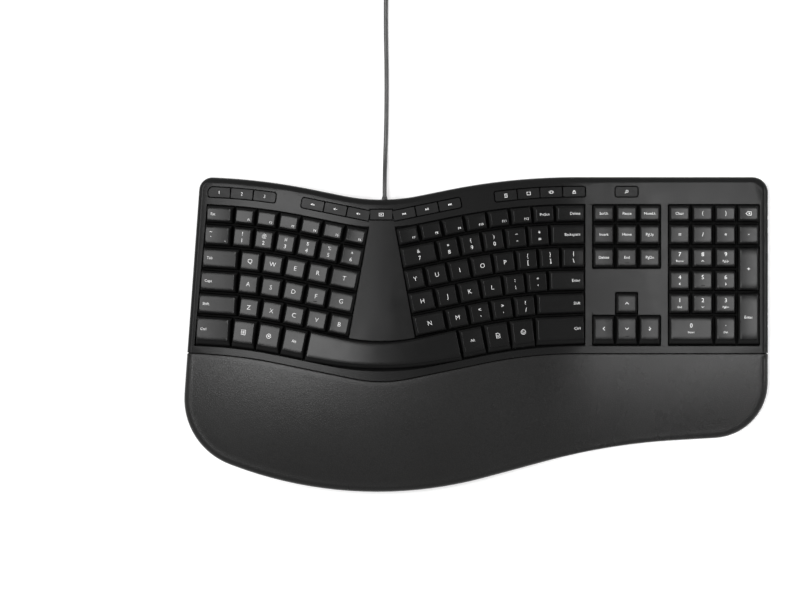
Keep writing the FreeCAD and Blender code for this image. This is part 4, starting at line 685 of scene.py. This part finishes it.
def homing_bar(cap):
    """A small raised bar that the finger finds, near the front of a cap."""
    half_x, half_y = BAR_WIDE / 2, BAR_DEEP / 2
    points, faces = block([(half_x - inset, half_y - inset, level) for level, inset in BAR_LEVELS])
    middle = -cap.depth / 2 + BAR_INSET
    return [(x, middle + y, z) for x, y, z in points], faces


def short_name(node):
    return node.removesuffix("_keys").removesuffix("_key")


def build_caps(node, rows):
    maker = MeshMaker()
    stem, stem_faces = stem_shape()
    for cap in (cap for row in rows for cap in row):
        columns = max(COLUMNS, int(round(cap.width / COLUMN_WIDE)))
        points, faces, sides = cap_shape(cap.width + 2 * CAP_EDGE, cap.depth + 2 * CAP_EDGE, cap.reach,
                                         cap.foot, columns)
        maker.add(cap.world(points), faces, sides)
        maker.add(cap.world(stem), [], stem_faces)
    for row, column in HOMING.get(node, []):
        cap = rows[row][column]
        points, faces = homing_bar(cap)
        maker.add(cap.world(points), faces)
    # walls, hollows and stems take the copy of the cap plastic that paints light on the walls
    piece = maker.piece(short_name(node) + "_caps", "key", "cap_side_painted_light")
    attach(piece, node)
    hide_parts(node)


CAPS = {node: read_caps(node) for node in KEY_NODES + HOT_NODES}
for node in KEY_NODES:
    build_caps(node, CAPS[node])


# Space bar: the same cap, bent along the gull-wing row

SPACE_SIDE_RUN = 1.2 * MM
SPACE_FRONT_RUN = 3.5 * MM
SPACE_BACK_RUN = 1.35 * MM
SPACE_FOOT = -7 * MM
SPACE_COLUMNS = 56
SPACE_STEMS = (-0.3, 0.0, 0.3)
SLOPE_STEP = 0.02


def share_along(line, share):
    """A place on a line by its share of the length, also a little past either end."""
    run = run_along(line)
    inside = min(max(share, 0.0), 1.0)
    point = np.array([np.interp(inside * run[-1], run, line[:, k]) for k in range(3)])
    if share < 0:
        point += unit(line[0] - line[1]) * (-share * run[-1])
    if share > 1:
        point += unit(line[-1] - line[-2]) * ((share - 1) * run[-1])
    return point


class BentFrame:
    """Carries a straight cap's own frame onto the curved top of the space bar."""

    def __init__(self, points, corners):
        top, _ = top_triangles(points, corners)
        rim = points[rim_of(top, least=lambda i: points[i][0] + points[i][1])]
        ahead = np.roll(rim, -1, axis=0) - rim
        behind = rim - np.roll(rim, 1, axis=0)
        straightness = [np.dot(unit(a), unit(b)) for a, b in zip(ahead, behind)]
        corner = sorted(np.argsort(straightness)[:4])
        ends = zip(corner, corner[1:] + [corner[0] + len(rim)])
        sides = [np.array([rim[i % len(rim)] for i in range(a, b + 1)]) for a, b in ends]
        sides.sort(key=lambda side: -np.ptp(side[:, 0]))
        long_sides = sorted(sides[:2], key=lambda side: side[:, 1].mean())
        self.front, self.back = (side[np.argsort(side[:, 0])] for side in long_sides)
        self.width = (run_along(self.front)[-1] + run_along(self.back)[-1]) / 2
        self.depth = np.linalg.norm(share_along(self.back, 0.5) - share_along(self.front, 0.5))

    def world(self, local):
        carried = []
        for x, y, z in local:
            share = x / self.width + 0.5
            front, back = share_along(self.front, share), share_along(self.back, share)
            ahead = share_along(self.front, share + SLOPE_STEP) - share_along(self.front, share - SLOPE_STEP)
            across = back - front
            up = unit(np.cross(ahead, across))
            carried.append(front + across * (y / self.depth + 0.5) + up * z)
        return np.array(carried)


def build_space_bar():
    points, corners = solids_in("space_bar")[0]
    bent = BentFrame(points, corners)
    width, depth = bent.width + 2 * CAP_EDGE, bent.depth + 2 * CAP_EDGE
    reach = (width / 2 + SPACE_SIDE_RUN, depth / 2 + SPACE_FRONT_RUN, depth / 2 + SPACE_BACK_RUN)
    maker = MeshMaker()
    shape, faces, sides = cap_shape(width, depth, reach, SPACE_FOOT, SPACE_COLUMNS, dish=0.0)
    maker.add(bent.world(shape), faces, sides)
    stem, stem_faces = stem_shape()
    for place in SPACE_STEMS:
        maker.add(bent.world([(x + place * width, y, z) for x, y, z in stem]), [], stem_faces)
    # walls, hollows and stems take the copy of the cap plastic that paints light on the walls
    piece = maker.piece("space_cap", "key", "cap_side_painted_light")
    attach(piece, "space_bar")
    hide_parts("space_bar")


build_space_bar()


# Legends: printed words, figures and signs

PRINT_LIFT = 0.03 * MM
GLYPH_SMOOTHNESS = 3
# how far a glyph's outline is moved outward, as a share of the size of the type
THIN, PLAIN, BOLD = -0.012, -0.004, 0.008
THIN_SIGNS = "@#$%&"
PLAIN_SIGNS = "()[]{}"


def weight(text):
    """Letters and dense signs are thinned, so that they stay open, and small signs are thickened."""
    if text in THIN_SIGNS or len(text) == 1 and text.isalpha():
        return THIN
    if text.isalnum() or text in PLAIN_SIGNS:
        return PLAIN
    return BOLD


@functools.cache
def glyph(text):
    """A word's flat mesh in type of a size of one metre."""
    curve = bpy.data.curves.new("glyph", "FONT")
    curve.body = text
    curve.offset = weight(text)
    curve.resolution_u = GLYPH_SMOOTHNESS
    maker = add_object("glyph", curve)
    bpy.context.view_layer.update()
    shown = maker.evaluated_get(bpy.context.evaluated_depsgraph_get())
    mesh = bpy.data.meshes.new_from_object(shown)
    points = np.array([v.co[:2] for v in mesh.vertices]).reshape(-1, 2)
    faces = [tuple(p.vertices) for p in mesh.polygons]
    bpy.data.objects.remove(maker)
    bpy.data.curves.remove(curve)
    bpy.data.meshes.remove(mesh)
    return points, faces


CAPITAL = np.ptp(glyph("H")[0][:, 1])


def word(text, height, x, y, align="middle"):
    """Points and faces of a printed word whose middle, left or right end is at x."""
    points, faces = glyph(text)
    points = points * (height / CAPITAL)
    low, high = points.min(axis=0), points.max(axis=0)
    anchor = {"middle": (low[0] + high[0]) / 2, "left": low[0], "right": high[0]}[align]
    baseline = height / 2 if len(text) > 1 or text.isalnum() else (low[1] + high[1]) / 2
    return points + (x - anchor, y - baseline), faces


# Drawn symbols, in shares of their size

INK = 0.36 * MM
# the arrows' ink is a share of their size
ARROW_INK = 0.26
LEAST_LEAN = 0.4
RING_STEPS = 20
DOT_STEPS = 12


def stroke(line, closed, ink):
    """A mitred ribbon along a line of points."""
    line = [Vector(p) for p in line]
    count = len(line)
    ways = [(b - a).normalized() for a, b in zip(line, line[1:] + line[:1])]
    if not closed:
        ways[-1] = ways[-2]
    left, right = [], []
    for index, (point, way_out) in enumerate(zip(line, ways)):
        way_in = ways[index - 1] if closed or index else way_out
        side_in, side_out = (Vector((-way.y, way.x)) for way in (way_in, way_out))
        side = (side_in + side_out).normalized()
        reach = side * (ink / 2 / max(side.dot(side_in), LEAST_LEAN))
        left.append(point + reach)
        right.append(point - reach)
    faces = bridge(count, 0, count)
    return np.array([p[:] for p in left + right]), faces if closed else faces[:-1]


def patch(line):
    """A filled shape inside a line of points."""
    return np.array(line), [tuple(range(len(line)))]


def arc(x, y, radius, start=0.0, end=360.0, steps=RING_STEPS):
    """Points round a centre; a full ring leaves out the last point."""
    count = steps if end - start >= 360 else steps + 1
    turns = [math.radians(start + (end - start) * k / steps) for k in range(count)]
    return [(x + radius * math.cos(t), y + radius * math.sin(t)) for t in turns]


def oblong(half_x, low, high):
    return [(-half_x, low), (half_x, low), (half_x, high), (-half_x, high)]


def ribbon(*points):
    return "ribbon", points


def outline(*points):
    return "outline", points


def filled(*points):
    return "filled", points


def dot(x, y, radius):
    return filled(*arc(x, y, radius, steps=DOT_STEPS))


def arrow(degrees):
    """An open arrow head, turned to the left from straight up."""
    c, s = math.cos(math.radians(degrees)), math.sin(math.radians(degrees))
    tip = [(-0.75, -0.35), (0.0, 0.4), (0.75, -0.35)]
    return [ribbon(*[(x * c - y * s, x * s + y * c) for x, y in tip])]


ARROWS = {"up": arrow(0), "left": arrow(90), "down": arrow(180), "right": arrow(270)}
SPEAKER = filled((-1.0, -0.3), (-0.6, -0.3), (-0.1, -0.7), (-0.1, 0.7), (-0.6, 0.3), (-1.0, 0.3))
SYMBOLS = {
    **ARROWS,
    "menu": [outline(*oblong(0.9, -1.0, 1.0)), *[ribbon((-0.45, y), (0.45, y)) for y in (0.4, 0.0, -0.4)]],
    "start": [outline(*arc(0, 0, 0.95)), dot(0, 0, 0.38)],
    "page": [outline((-0.75, -1.0), (0.75, -1.0), (0.75, 0.5), (0.25, 1.0), (-0.75, 1.0)),
             ribbon((-0.35, 0.1), (0.35, 0.1)), ribbon((-0.35, -0.4), (0.35, -0.4))],
    "smile": [outline(*arc(0, 0, 1.0)), ribbon(*arc(0, 0.05, 0.55, 200, 340, 10)),
              dot(-0.35, 0.3, 0.14), dot(0.35, 0.3, 0.14)],
    "erase": [outline((-1.2, 0.0), (-0.5, 0.75), (1.1, 0.75), (1.1, -0.75), (-0.5, -0.75)),
              ribbon((-0.1, 0.32), (0.6, -0.32)), ribbon((-0.1, -0.32), (0.6, 0.32))],
    "mute": [SPEAKER, ribbon((0.3, 0.4), (1.0, -0.4)), ribbon((0.3, -0.4), (1.0, 0.4))],
    "quieter": [SPEAKER, ribbon((0.3, 0.0), (1.0, 0.0))],
    "louder": [SPEAKER, ribbon((0.3, 0.0), (1.1, 0.0)), ribbon((0.7, -0.4), (0.7, 0.4))],
    "player": [outline(*oblong(1.2, -0.8, 0.8)), filled((-0.35, -0.45), (0.5, 0.0), (-0.35, 0.45))],
    "previous": [ribbon((-0.9, -0.6), (-0.9, 0.6)), filled((0.1, -0.6), (0.1, 0.6), (-0.7, 0.0)),
                 filled((0.95, -0.6), (0.95, 0.6), (0.15, 0.0))],
    "next": [ribbon((0.9, -0.6), (0.9, 0.6)), filled((-0.1, 0.6), (-0.1, -0.6), (0.7, 0.0)),
             filled((-0.95, 0.6), (-0.95, -0.6), (-0.15, 0.0))],
    "play": [filled((-0.9, 0.6), (-0.9, -0.6), (0.0, 0.0)), ribbon((0.3, -0.6), (0.3, 0.6)),
             ribbon((0.8, -0.6), (0.8, 0.6))],
    "calculator": [outline(*oblong(0.7, -1.0, 1.0)), ribbon((-0.35, 0.5), (0.35, 0.5)),
                   *[dot(x, y, 0.13) for x in (-0.3, 0.3) for y in (-0.05, -0.5)]],
    "snip": [ribbon((-0.2, 0.8), (-1.0, 0.8), (-1.0, -0.8), (1.0, -0.8), (1.0, 0.8), (0.2, 0.8))],
    "panes_row": [outline(*oblong(0.6, -0.7, 0.7)), ribbon((-1.2, -0.5), (-1.2, 0.5)),
                  ribbon((1.2, -0.5), (1.2, 0.5))],
    "lock": [outline(*oblong(0.75, -1.0, -0.1)),
             ribbon((0.42, -0.1), *arc(0, 0.35, 0.42, 0, 180, 8), (-0.42, -0.1))],
    "search": [outline(*arc(0.25, 0.25, 0.62)), ribbon((-0.22, -0.22), (-0.95, -0.95))],
}


def symbol(name, size):
    """A drawn symbol about the origin, as ribbons and filled shapes."""
    ink = ARROW_INK * size if name in ARROWS else INK
    shapes = []
    for kind, line in SYMBOLS[name]:
        line = [(x * size, y * size) for x, y in line]
        shapes.append(patch(line) if kind == "filled" else stroke(line, kind == "outline", ink))
    return shapes


# Where a legend stands on its cap

LETTER = 3.45 * MM
FIGURE = 3.0 * MM
UPPER_FIGURE = 2.76 * MM
PAD_FIGURE = 3.2 * MM
LABEL = 2.1 * MM
SMALL = 1.75 * MM
PAD_LABEL = 1.575 * MM
PAD_ARROW = 1.3 * MM
MIDDLE_SIZE = {"letter": LETTER, "figure": FIGURE, "middle_word": LABEL, "hot_figure": 2.5 * MM}
SYMBOL_SIZE = {"symbol": 1.9 * MM, "hot": 1.45 * MM}
START_MARGIN = 2.5 * MM
END_MARGIN = 2.1 * MM
CORNER_MARGIN = (1.3 * MM, 2.1 * MM)
PAIR_RISE, PAIR_DROP = 2.9 * MM, 2.7 * MM
PAD_RISE, PAD_DROP = 2.6 * MM, 3.0 * MM
ACCENT_MARGIN = 4.2 * MM
ACCENT_RISE, ACCENT_DROP = 2.6 * MM, 1.6 * MM
ACCENT_DOT = 0.3 * MM
ACCENT_DOT_MARGIN = (2.0 * MM, 1.8 * MM)


def pad_shapes(kind, first, second=None):
    """The number pad's figures, with nothing, a word or an arrow below them."""
    shapes = [word(first, PAD_FIGURE, 0, PAD_RISE)]
    if kind == "pad":
        shapes.append(word(second, PAD_LABEL, 0, -PAD_DROP))
    if kind == "pad_arrow":
        shapes += [(points - (0, PAD_DROP), faces) for points, faces in symbol(second, PAD_ARROW)]
    return shapes


def legend_shapes(cap, kind, first, second=None):
    """The printed shapes of one key, flat in its cap's frame."""
    right, front = cap.width / 2, -cap.depth / 2
    if kind in MIDDLE_SIZE:
        return [word(first, MIDDLE_SIZE[kind], 0, 0)]
    if kind in SYMBOL_SIZE:
        return symbol(first, SYMBOL_SIZE[kind])
    if kind == "start_word":
        return [word(first, LABEL, -right + START_MARGIN, 0, "left")]
    if kind == "end_word":
        return [word(first, LABEL, right - END_MARGIN, 0, "right")]
    if kind == "corner":
        return [word(first, SMALL, right - CORNER_MARGIN[0], front + CORNER_MARGIN[1], "right")]
    if kind == "pair":
        return [word(first, UPPER_FIGURE, 0, PAIR_RISE), word(second, FIGURE, 0, -PAIR_DROP)]
    if kind == "accent":
        x = -right + ACCENT_MARGIN
        point = arc(right - ACCENT_DOT_MARGIN[0], front + ACCENT_DOT_MARGIN[1], ACCENT_DOT, steps=DOT_STEPS)
        return [word(first, UPPER_FIGURE, x, ACCENT_RISE), word(second, FIGURE, x, -ACCENT_DROP),
                patch(point)]
    return pad_shapes(kind, first, second)


def print_legends(node, rows, dish):
    maker = MeshMaker()
    for row, legends in zip(rows, LEGENDS[node]):
        for cap, legend in zip(row, legends):
            for points, faces in legend_shapes(cap, *legend):
                lifted = [(x, y, PRINT_LIFT + sunk(x, cap.width / 2, dish)) for x, y in points]
                maker.add(cap.world(lifted), faces)
    piece = maker.piece(short_name(node) + "_legends", "legend", smooth=False)
    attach(piece, node)


for node in KEY_NODES:
    print_legends(node, CAPS[node], CAP_DISH)
for node in HOT_NODES:
    print_legends(node, CAPS[node], dish=0.0)


# Palm rest: leatherette over foam, drawn over the whole front of the keyboard

# the crown seen from the front: an arc over the crest, a reverse arc, and a flat to the right
APEX_X = -78.7 * MM
CREST = 35.0 * MM
CROWN = 690.0 * MM
VALLEY = 256.0 * MM
CROWN_END = math.radians(11.0)
SHOULDER_X = APEX_X + CROWN * math.sin(CROWN_END)
FLAT_X = SHOULDER_X + VALLEY * math.sin(CROWN_END)
FLAT_LEVEL = CREST - (CROWN + VALLEY) * (1 - math.cos(CROWN_END))
# the fall towards the user, seen from the side
FALL_START = -10.0 * MM
FALL_RADIUS = 460.0 * MM
# the cushion's rounded edge, which is tighter at the seam along the keys
PAD_ROLL = 5.5 * MM
PAD_SEAM_ROLL = 1.0 * MM
PAD_ROLL_SHARE = 0.85
PAD_ROLL_STEPS = 8
SEAM_LIMIT = -60 * MM
SEAM_FACING = 0.75
SEAM_BLEND = 0.2
SEAM_SWEEPS = 2
PAD_SKIN = 3.2 * MM
PAD_FOOT_TOLERANCE = 0.01 * MM
PAD_STEP = 2.0 * MM
PAD_GRID = 4.0 * MM
# how the plan is cut into triangles: only inside its edge, with points this near taken as one
INSIDE_ONLY = 1
SAME_POINT = 1e-7


def crown_height(x):
    if x >= FLAT_X:
        return FLAT_LEVEL
    if x >= SHOULDER_X:
        return FLAT_LEVEL + VALLEY - math.sqrt(VALLEY ** 2 - (FLAT_X - x) ** 2)
    return CREST - CROWN + math.sqrt(CROWN ** 2 - (x - APEX_X) ** 2)


def outer_surface(x, y):
    reach = max(FALL_START - y, 0.0)
    return crown_height(x) - FALL_RADIUS + math.sqrt(FALL_RADIUS ** 2 - reach ** 2)


def surface_over(plan):
    return np.array([outer_surface(x, y) for x, y in plan])


def even_outline(line, step):
    """A closed line with points at even distances, turning to the left."""
    closed = np.vstack([line, line[:1]])
    run = run_along(closed)
    count = int(run[-1] / step)
    stops = np.arange(count) * run[-1] / count
    even = np.stack([np.interp(stops, run, closed[:, k]) for k in range(2)], axis=1)
    x, y = even.T
    area = np.dot(x, np.roll(y, -1)) - np.dot(y, np.roll(x, -1))
    return even if area > 0 else even[::-1]


def pad_outline():
    """The palm rest's plan and the level of its foot, read from its solid."""
    points, corners = solids_in("palm_rest_pad")[0]
    low = points[:, 2].min()
    # the faces of the foot look down, so their corners are taken the other way round
    foot = [(c, b, a) for a, b, c in corners if points[[a, b, c], 2].max() < low + PAD_FOOT_TOLERANCE]
    rim = rim_of(foot, least=lambda i: points[i][0])
    return even_outline(points[rim][:, :2], PAD_STEP), low


def inward_of(line):
    """At each point of a closed line, the level direction that leads inside."""
    ahead = np.roll(line, -1, axis=0) - np.roll(line, 1, axis=0)
    inward = np.stack([-ahead[:, 1], ahead[:, 0]], axis=1)
    return inward / np.linalg.norm(inward, axis=1)[:, None]


def pad_rolls(line, inward, base):
    """How wide the edge is rounded at each point: tightly where it faces the keys, widely elsewhere."""
    # on the side of the keys, inward points towards the user
    facing_keys = np.clip((-inward[:, 1] - SEAM_FACING) / SEAM_BLEND, 0.0, 1.0)
    seam = facing_keys * (line[:, 1] > SEAM_LIMIT)
    for _ in range(SEAM_SWEEPS):
        seam = (np.roll(seam, 1) + 2 * seam + np.roll(seam, -1)) / 4
    roll = PAD_ROLL * (1 - seam) + PAD_SEAM_ROLL * seam
    height = surface_over(line + inward * roll[:, None]) - base
    return np.minimum(roll, height * PAD_ROLL_SHARE)


def pad_sides(line, inward, base):
    """The cushion's wall and rounded edge, as loops of points from the foot up."""
    roll = pad_rolls(line, inward, base)
    tops = surface_over(line + inward * roll[:, None])
    loops = [np.column_stack([line, base + (tops - roll - base) * share]) for share in (0.0, 0.5)]
    for step in range(PAD_ROLL_STEPS + 1):
        turn = math.pi / 2 * step / PAD_ROLL_STEPS
        plan = line + inward * (roll * (1 - math.cos(turn)))[:, None]
        loops.append(np.column_stack([plan, tops - roll * (1 - math.sin(turn))]))
    return loops


def places_inside(rim, step):
    """Columns of places inside a closed line, each column spread evenly between the edges."""
    places = []
    for x in np.arange(rim[:, 0].min(), rim[:, 0].max(), step):
        crossings = []
        for a, b in zip(rim, np.roll(rim, -1, axis=0)):
            if (a[0] - x) * (b[0] - x) < 0:
                crossings.append(a[1] + (b[1] - a[1]) * (x - a[0]) / (b[0] - a[0]))
        crossings.sort()
        for bottom, top in zip(crossings[::2], crossings[1::2]):
            room = top - bottom
            rows = int(room / step)
            places += [(x, bottom + room * row / rows) for row in range(1, rows)]
    return places


def pad_top(rim, first, start):
    """The upper face: its edge is the loop from point first on, its inside new points from start on."""
    count = len(rim)
    plan = [Vector(place) for place in [*rim[:, :2], *places_inside(rim, PAD_GRID)]]
    edges = [(i, (i + 1) % count) for i in range(count)]
    made, _, faces, origins, *_ = geometry.delaunay_2d_cdt(plan, edges, [], INSIDE_ONLY, SAME_POINT)
    points, numbers = [], []
    for place, origin in zip(made, origins):
        if origin and origin[0] < count:
            numbers.append(first + origin[0])
        else:
            numbers.append(start + len(points))
            points.append((place.x, place.y, outer_surface(place.x, place.y)))
    return points, [tuple(numbers[i] for i in face) for face in faces]


def build_palm_rest():
    line, base = pad_outline()
    loops = pad_sides(line, inward_of(line), base)
    sides = np.vstack(loops)
    count = len(line)
    top, top_faces = pad_top(loops[-1], len(sides) - count, len(sides))
    maker = MeshMaker()
    maker.add(np.vstack([sides, top]), sleeve(0, len(loops) - 1, count) + top_faces)
    piece = maker.piece("palm_rest_cushion", "leather")
    shell = piece.modifiers.new("skin", "SOLIDIFY")
    shell.thickness = PAD_SKIN
    shell.offset = -1.0
    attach(piece, "case")
    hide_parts("palm_rest_pad")


build_palm_rest()


# Cord: out of the boot, down to the desk, back to a put-away coil and its plug

CORD = 3.5 * MM
CORD_LOW = CORD / 2 + 0.05 * MM
BOOT_END = Vector((-76.0 * MM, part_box("cable_boot")[1].y, 10.0 * MM))
COIL_OUT = 26.325 * MM
COIL_IN = 13.675 * MM
COIL_PITCH = 4.6 * MM
COIL_LAYER = 4.1 * MM
COIL_BASE = CORD / 2 + 0.9 * MM
COIL_CENTRE = Vector((-48.275 * MM, 312.0 * MM, COIL_BASE))
COIL_LOOPS = 2.75
COIL_CLIMB = 0.5
COIL_LAYERS = 4
COIL_TURNS = 12.25
COIL_POINTS_PER_TURN = 16
PLUG_LEVEL = 4.0 * MM


def coil_point(turn):
    """A place on the flat layers of the coil, which are wound inward and outward by turns."""
    layer = min(int(turn / (COIL_LOOPS + COIL_CLIMB)), COIL_LAYERS - 1)
    within = turn - layer * (COIL_LOOPS + COIL_CLIMB)
    run = min(within, COIL_LOOPS) * COIL_PITCH
    radius = COIL_OUT - run if layer % 2 == 0 else COIL_IN + run
    climbed = max(within - COIL_LOOPS, 0.0) / COIL_CLIMB
    angle = math.pi - 2 * math.pi * turn
    flat = Vector((radius * math.cos(angle), radius * math.sin(angle), (layer + climbed) * COIL_LAYER))
    return COIL_CENTRE + flat


def cord_route():
    x, y = BOOT_END.x, BOOT_END.y
    steps = int(COIL_TURNS * COIL_POINTS_PER_TURN)
    coil = [coil_point(step / COIL_POINTS_PER_TURN) for step in range(steps + 1)]
    start = coil[0] - Vector((0, CORD, 0))
    end = coil[-1] + Vector((CORD, 0, 0))
    lead = [
        BOOT_END,
        Vector((x, y + 14.0 * MM, BOOT_END.z - 0.6 * MM)),
        Vector((x + 0.4 * MM, y + 30.0 * MM, CORD_LOW + 0.2 * MM)),
        Vector((x + 1.4 * MM, y + 60.0 * MM, CORD_LOW)),
        Vector((x + 1.7 * MM, y + 102.0 * MM, CORD_LOW)),
        Vector((x + 0.8 * MM, y + 147.0 * MM, CORD_LOW + 0.2 * MM)),
        start,
    ]
    tail = [
        end,
        end + Vector((18.0, 0.5, -1.0)) * MM,
        end + Vector((36.0, -4.0, -9.0)) * MM,
        Vector((end.x + 56.0 * MM, end.y - 7.0 * MM, PLUG_LEVEL)),
        Vector((end.x + 74.0 * MM, end.y - 7.6 * MM, PLUG_LEVEL)),
    ]
    return lead + coil + tail


def build_cord():
    route = cord_route()
    curve = bpy.data.curves.new("cord", "CURVE")
    curve.dimensions = "3D"
    curve.bevel_depth = CORD / 2
    curve.bevel_resolution = 4
    curve.use_fill_caps = True
    curve.resolution_u = 4
    spline = curve.splines.new("NURBS")
    spline.points.add(len(route) - 1)
    for point, place in zip(spline.points, route):
        point.co = (*place, 1.0)
    spline.order_u = 3
    spline.use_endpoint_u = True
    piece = add_object("cord", curve)
    give_finish(piece, "cord")
    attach(piece, "case")
    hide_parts("cable_lead", "cable_coil", "cable_tail")


build_cord()


# Small rounding on the casings that keep their solids

ROUNDINGS = {
    "top_case": 0.35 * MM, "bottom_case": 0.4 * MM, "rubber_feet": 0.6 * MM, "plug_shell": 0.15 * MM,
    "plug_grip": 0.5 * MM, "coil_tie": 0.25 * MM, "left_flip_leg": 0.3 * MM, "right_flip_leg": 0.3 * MM,
    "cable_boot": 0.3 * MM, **dict.fromkeys(HOT_NODES, 0.25 * MM),
}
ROUNDING_WELD = 0.01 * MM
ROUNDING_STEPS = 3
SHARP_EDGE = math.radians(40)


def round_edges(node, width):
    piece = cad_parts[node]
    weld = piece.modifiers.new("weld", "WELD")
    weld.merge_threshold = ROUNDING_WELD
    bevel = piece.modifiers.new("rounding", "BEVEL")
    bevel.width = width
    bevel.segments = ROUNDING_STEPS
    bevel.limit_method = "ANGLE"
    bevel.angle_limit = SHARP_EDGE
    for polygon in piece.data.polygons:
        polygon.use_smooth = True
    normals = piece.modifiers.new("normals", "WEIGHTED_NORMAL")
    normals.keep_sharp = True


for node, width in ROUNDINGS.items():
    round_edges(node, width)


# Floor, lamps and world

FLOOR_REACH = 12.0
FLOOR_WHITE = (0.8, 0.8, 0.8, 1.0)
FLOOR_LIFT = 0.35
WHITE = (1.0, 1.0, 1.0, 1.0)
# the world's strength on the object, and as it is seen
WORLD_GLOW, WORLD_SEEN = 0.15, 1.0


def seen_ray(nodes):
    """One for the rays that show a surface to the camera, also in reflections and through glass."""
    path = nodes.add("LightPath").outputs
    mirrored = nodes.math("MAXIMUM", path["Is Glossy Ray"], path["Is Transmission Ray"])
    return nodes.math("MAXIMUM", path["Is Camera Ray"], mirrored)


def floor_paint():
    """A pale surface that shows a little lighter to the camera and in reflections."""
    material = bpy.data.materials.new("floor_paint")
    nodes = fresh_nodes(material)
    paint = nodes.add("BsdfDiffuse", Color=FLOOR_WHITE)
    glow = nodes.add("Emission", Color=WHITE, Strength=nodes.scaled(seen_ray(nodes), FLOOR_LIFT))
    both = nodes.add("AddShader", i0=paint.outputs[0], i1=glow.outputs[0])
    nodes.add("OutputMaterial", Surface=both.outputs[0])
    return material


def build_floor():
    mesh = bpy.data.meshes.new("floor")
    reach = FLOOR_REACH
    corners = [(-reach, -reach, 0), (reach, -reach, 0), (reach, reach, 0), (-reach, reach, 0)]
    mesh.from_pydata(corners, [], [(0, 1, 2, 3)])
    mesh.materials.append(floor_paint())
    floor = add_object("floor", mesh)


def add_lamp(name, place, aim, size, power, spread=180.0):
    """A lamp panel at a place, turned to face a point."""
    data = bpy.data.lights.new(name, "AREA")
    data.shape = "RECTANGLE"
    data.size, data.size_y = size
    data.energy = power
    data.spread = math.radians(spread)
    lamp = add_object(name, data)
    lamp.location = place
    lamp.rotation_mode = "QUATERNION"
    lamp.rotation_quaternion = (Vector(aim) - Vector(place)).to_track_quat("-Z", "Y")


def set_up_world():
    world = bpy.data.worlds.new("world")
    nodes = fresh_nodes(world)
    strength = nodes.span(seen_ray(nodes), 0.0, 1.0, WORLD_GLOW, WORLD_SEEN)
    glow = nodes.add("Background", Color=WHITE, Strength=strength)
    nodes.add("OutputWorld", Surface=glow.outputs[0])
    bpy.context.scene.world = world


build_floor()
# the ceiling lamp is mirrored in the slopes that face left, and the narrow right lamp in the number pad
add_lamp("ceiling_lamp", place=(-2.2, 0.1, 8.0), aim=(0, 0, 0), size=(2.2, 3.4), power=410.0)
add_lamp("right_lamp", place=(0.23, 0.0, 0.9), aim=(0.23, 0.0, 0), size=(0.2, 0.6), power=0.12, spread=22.0)
add_lamp("side_lamp", place=(-3.8, 1.0, 3.2), aim=(0, 0, 0), size=(1.9, 1.9), power=95.0)
add_lamp("edge_lamp", place=(4.0, 0.5, 2.3), aim=(0, 0, 0), size=(1.7, 1.7), power=80.0)
set_up_world()
bpy.context.scene.view_settings.view_transform = "Standard"
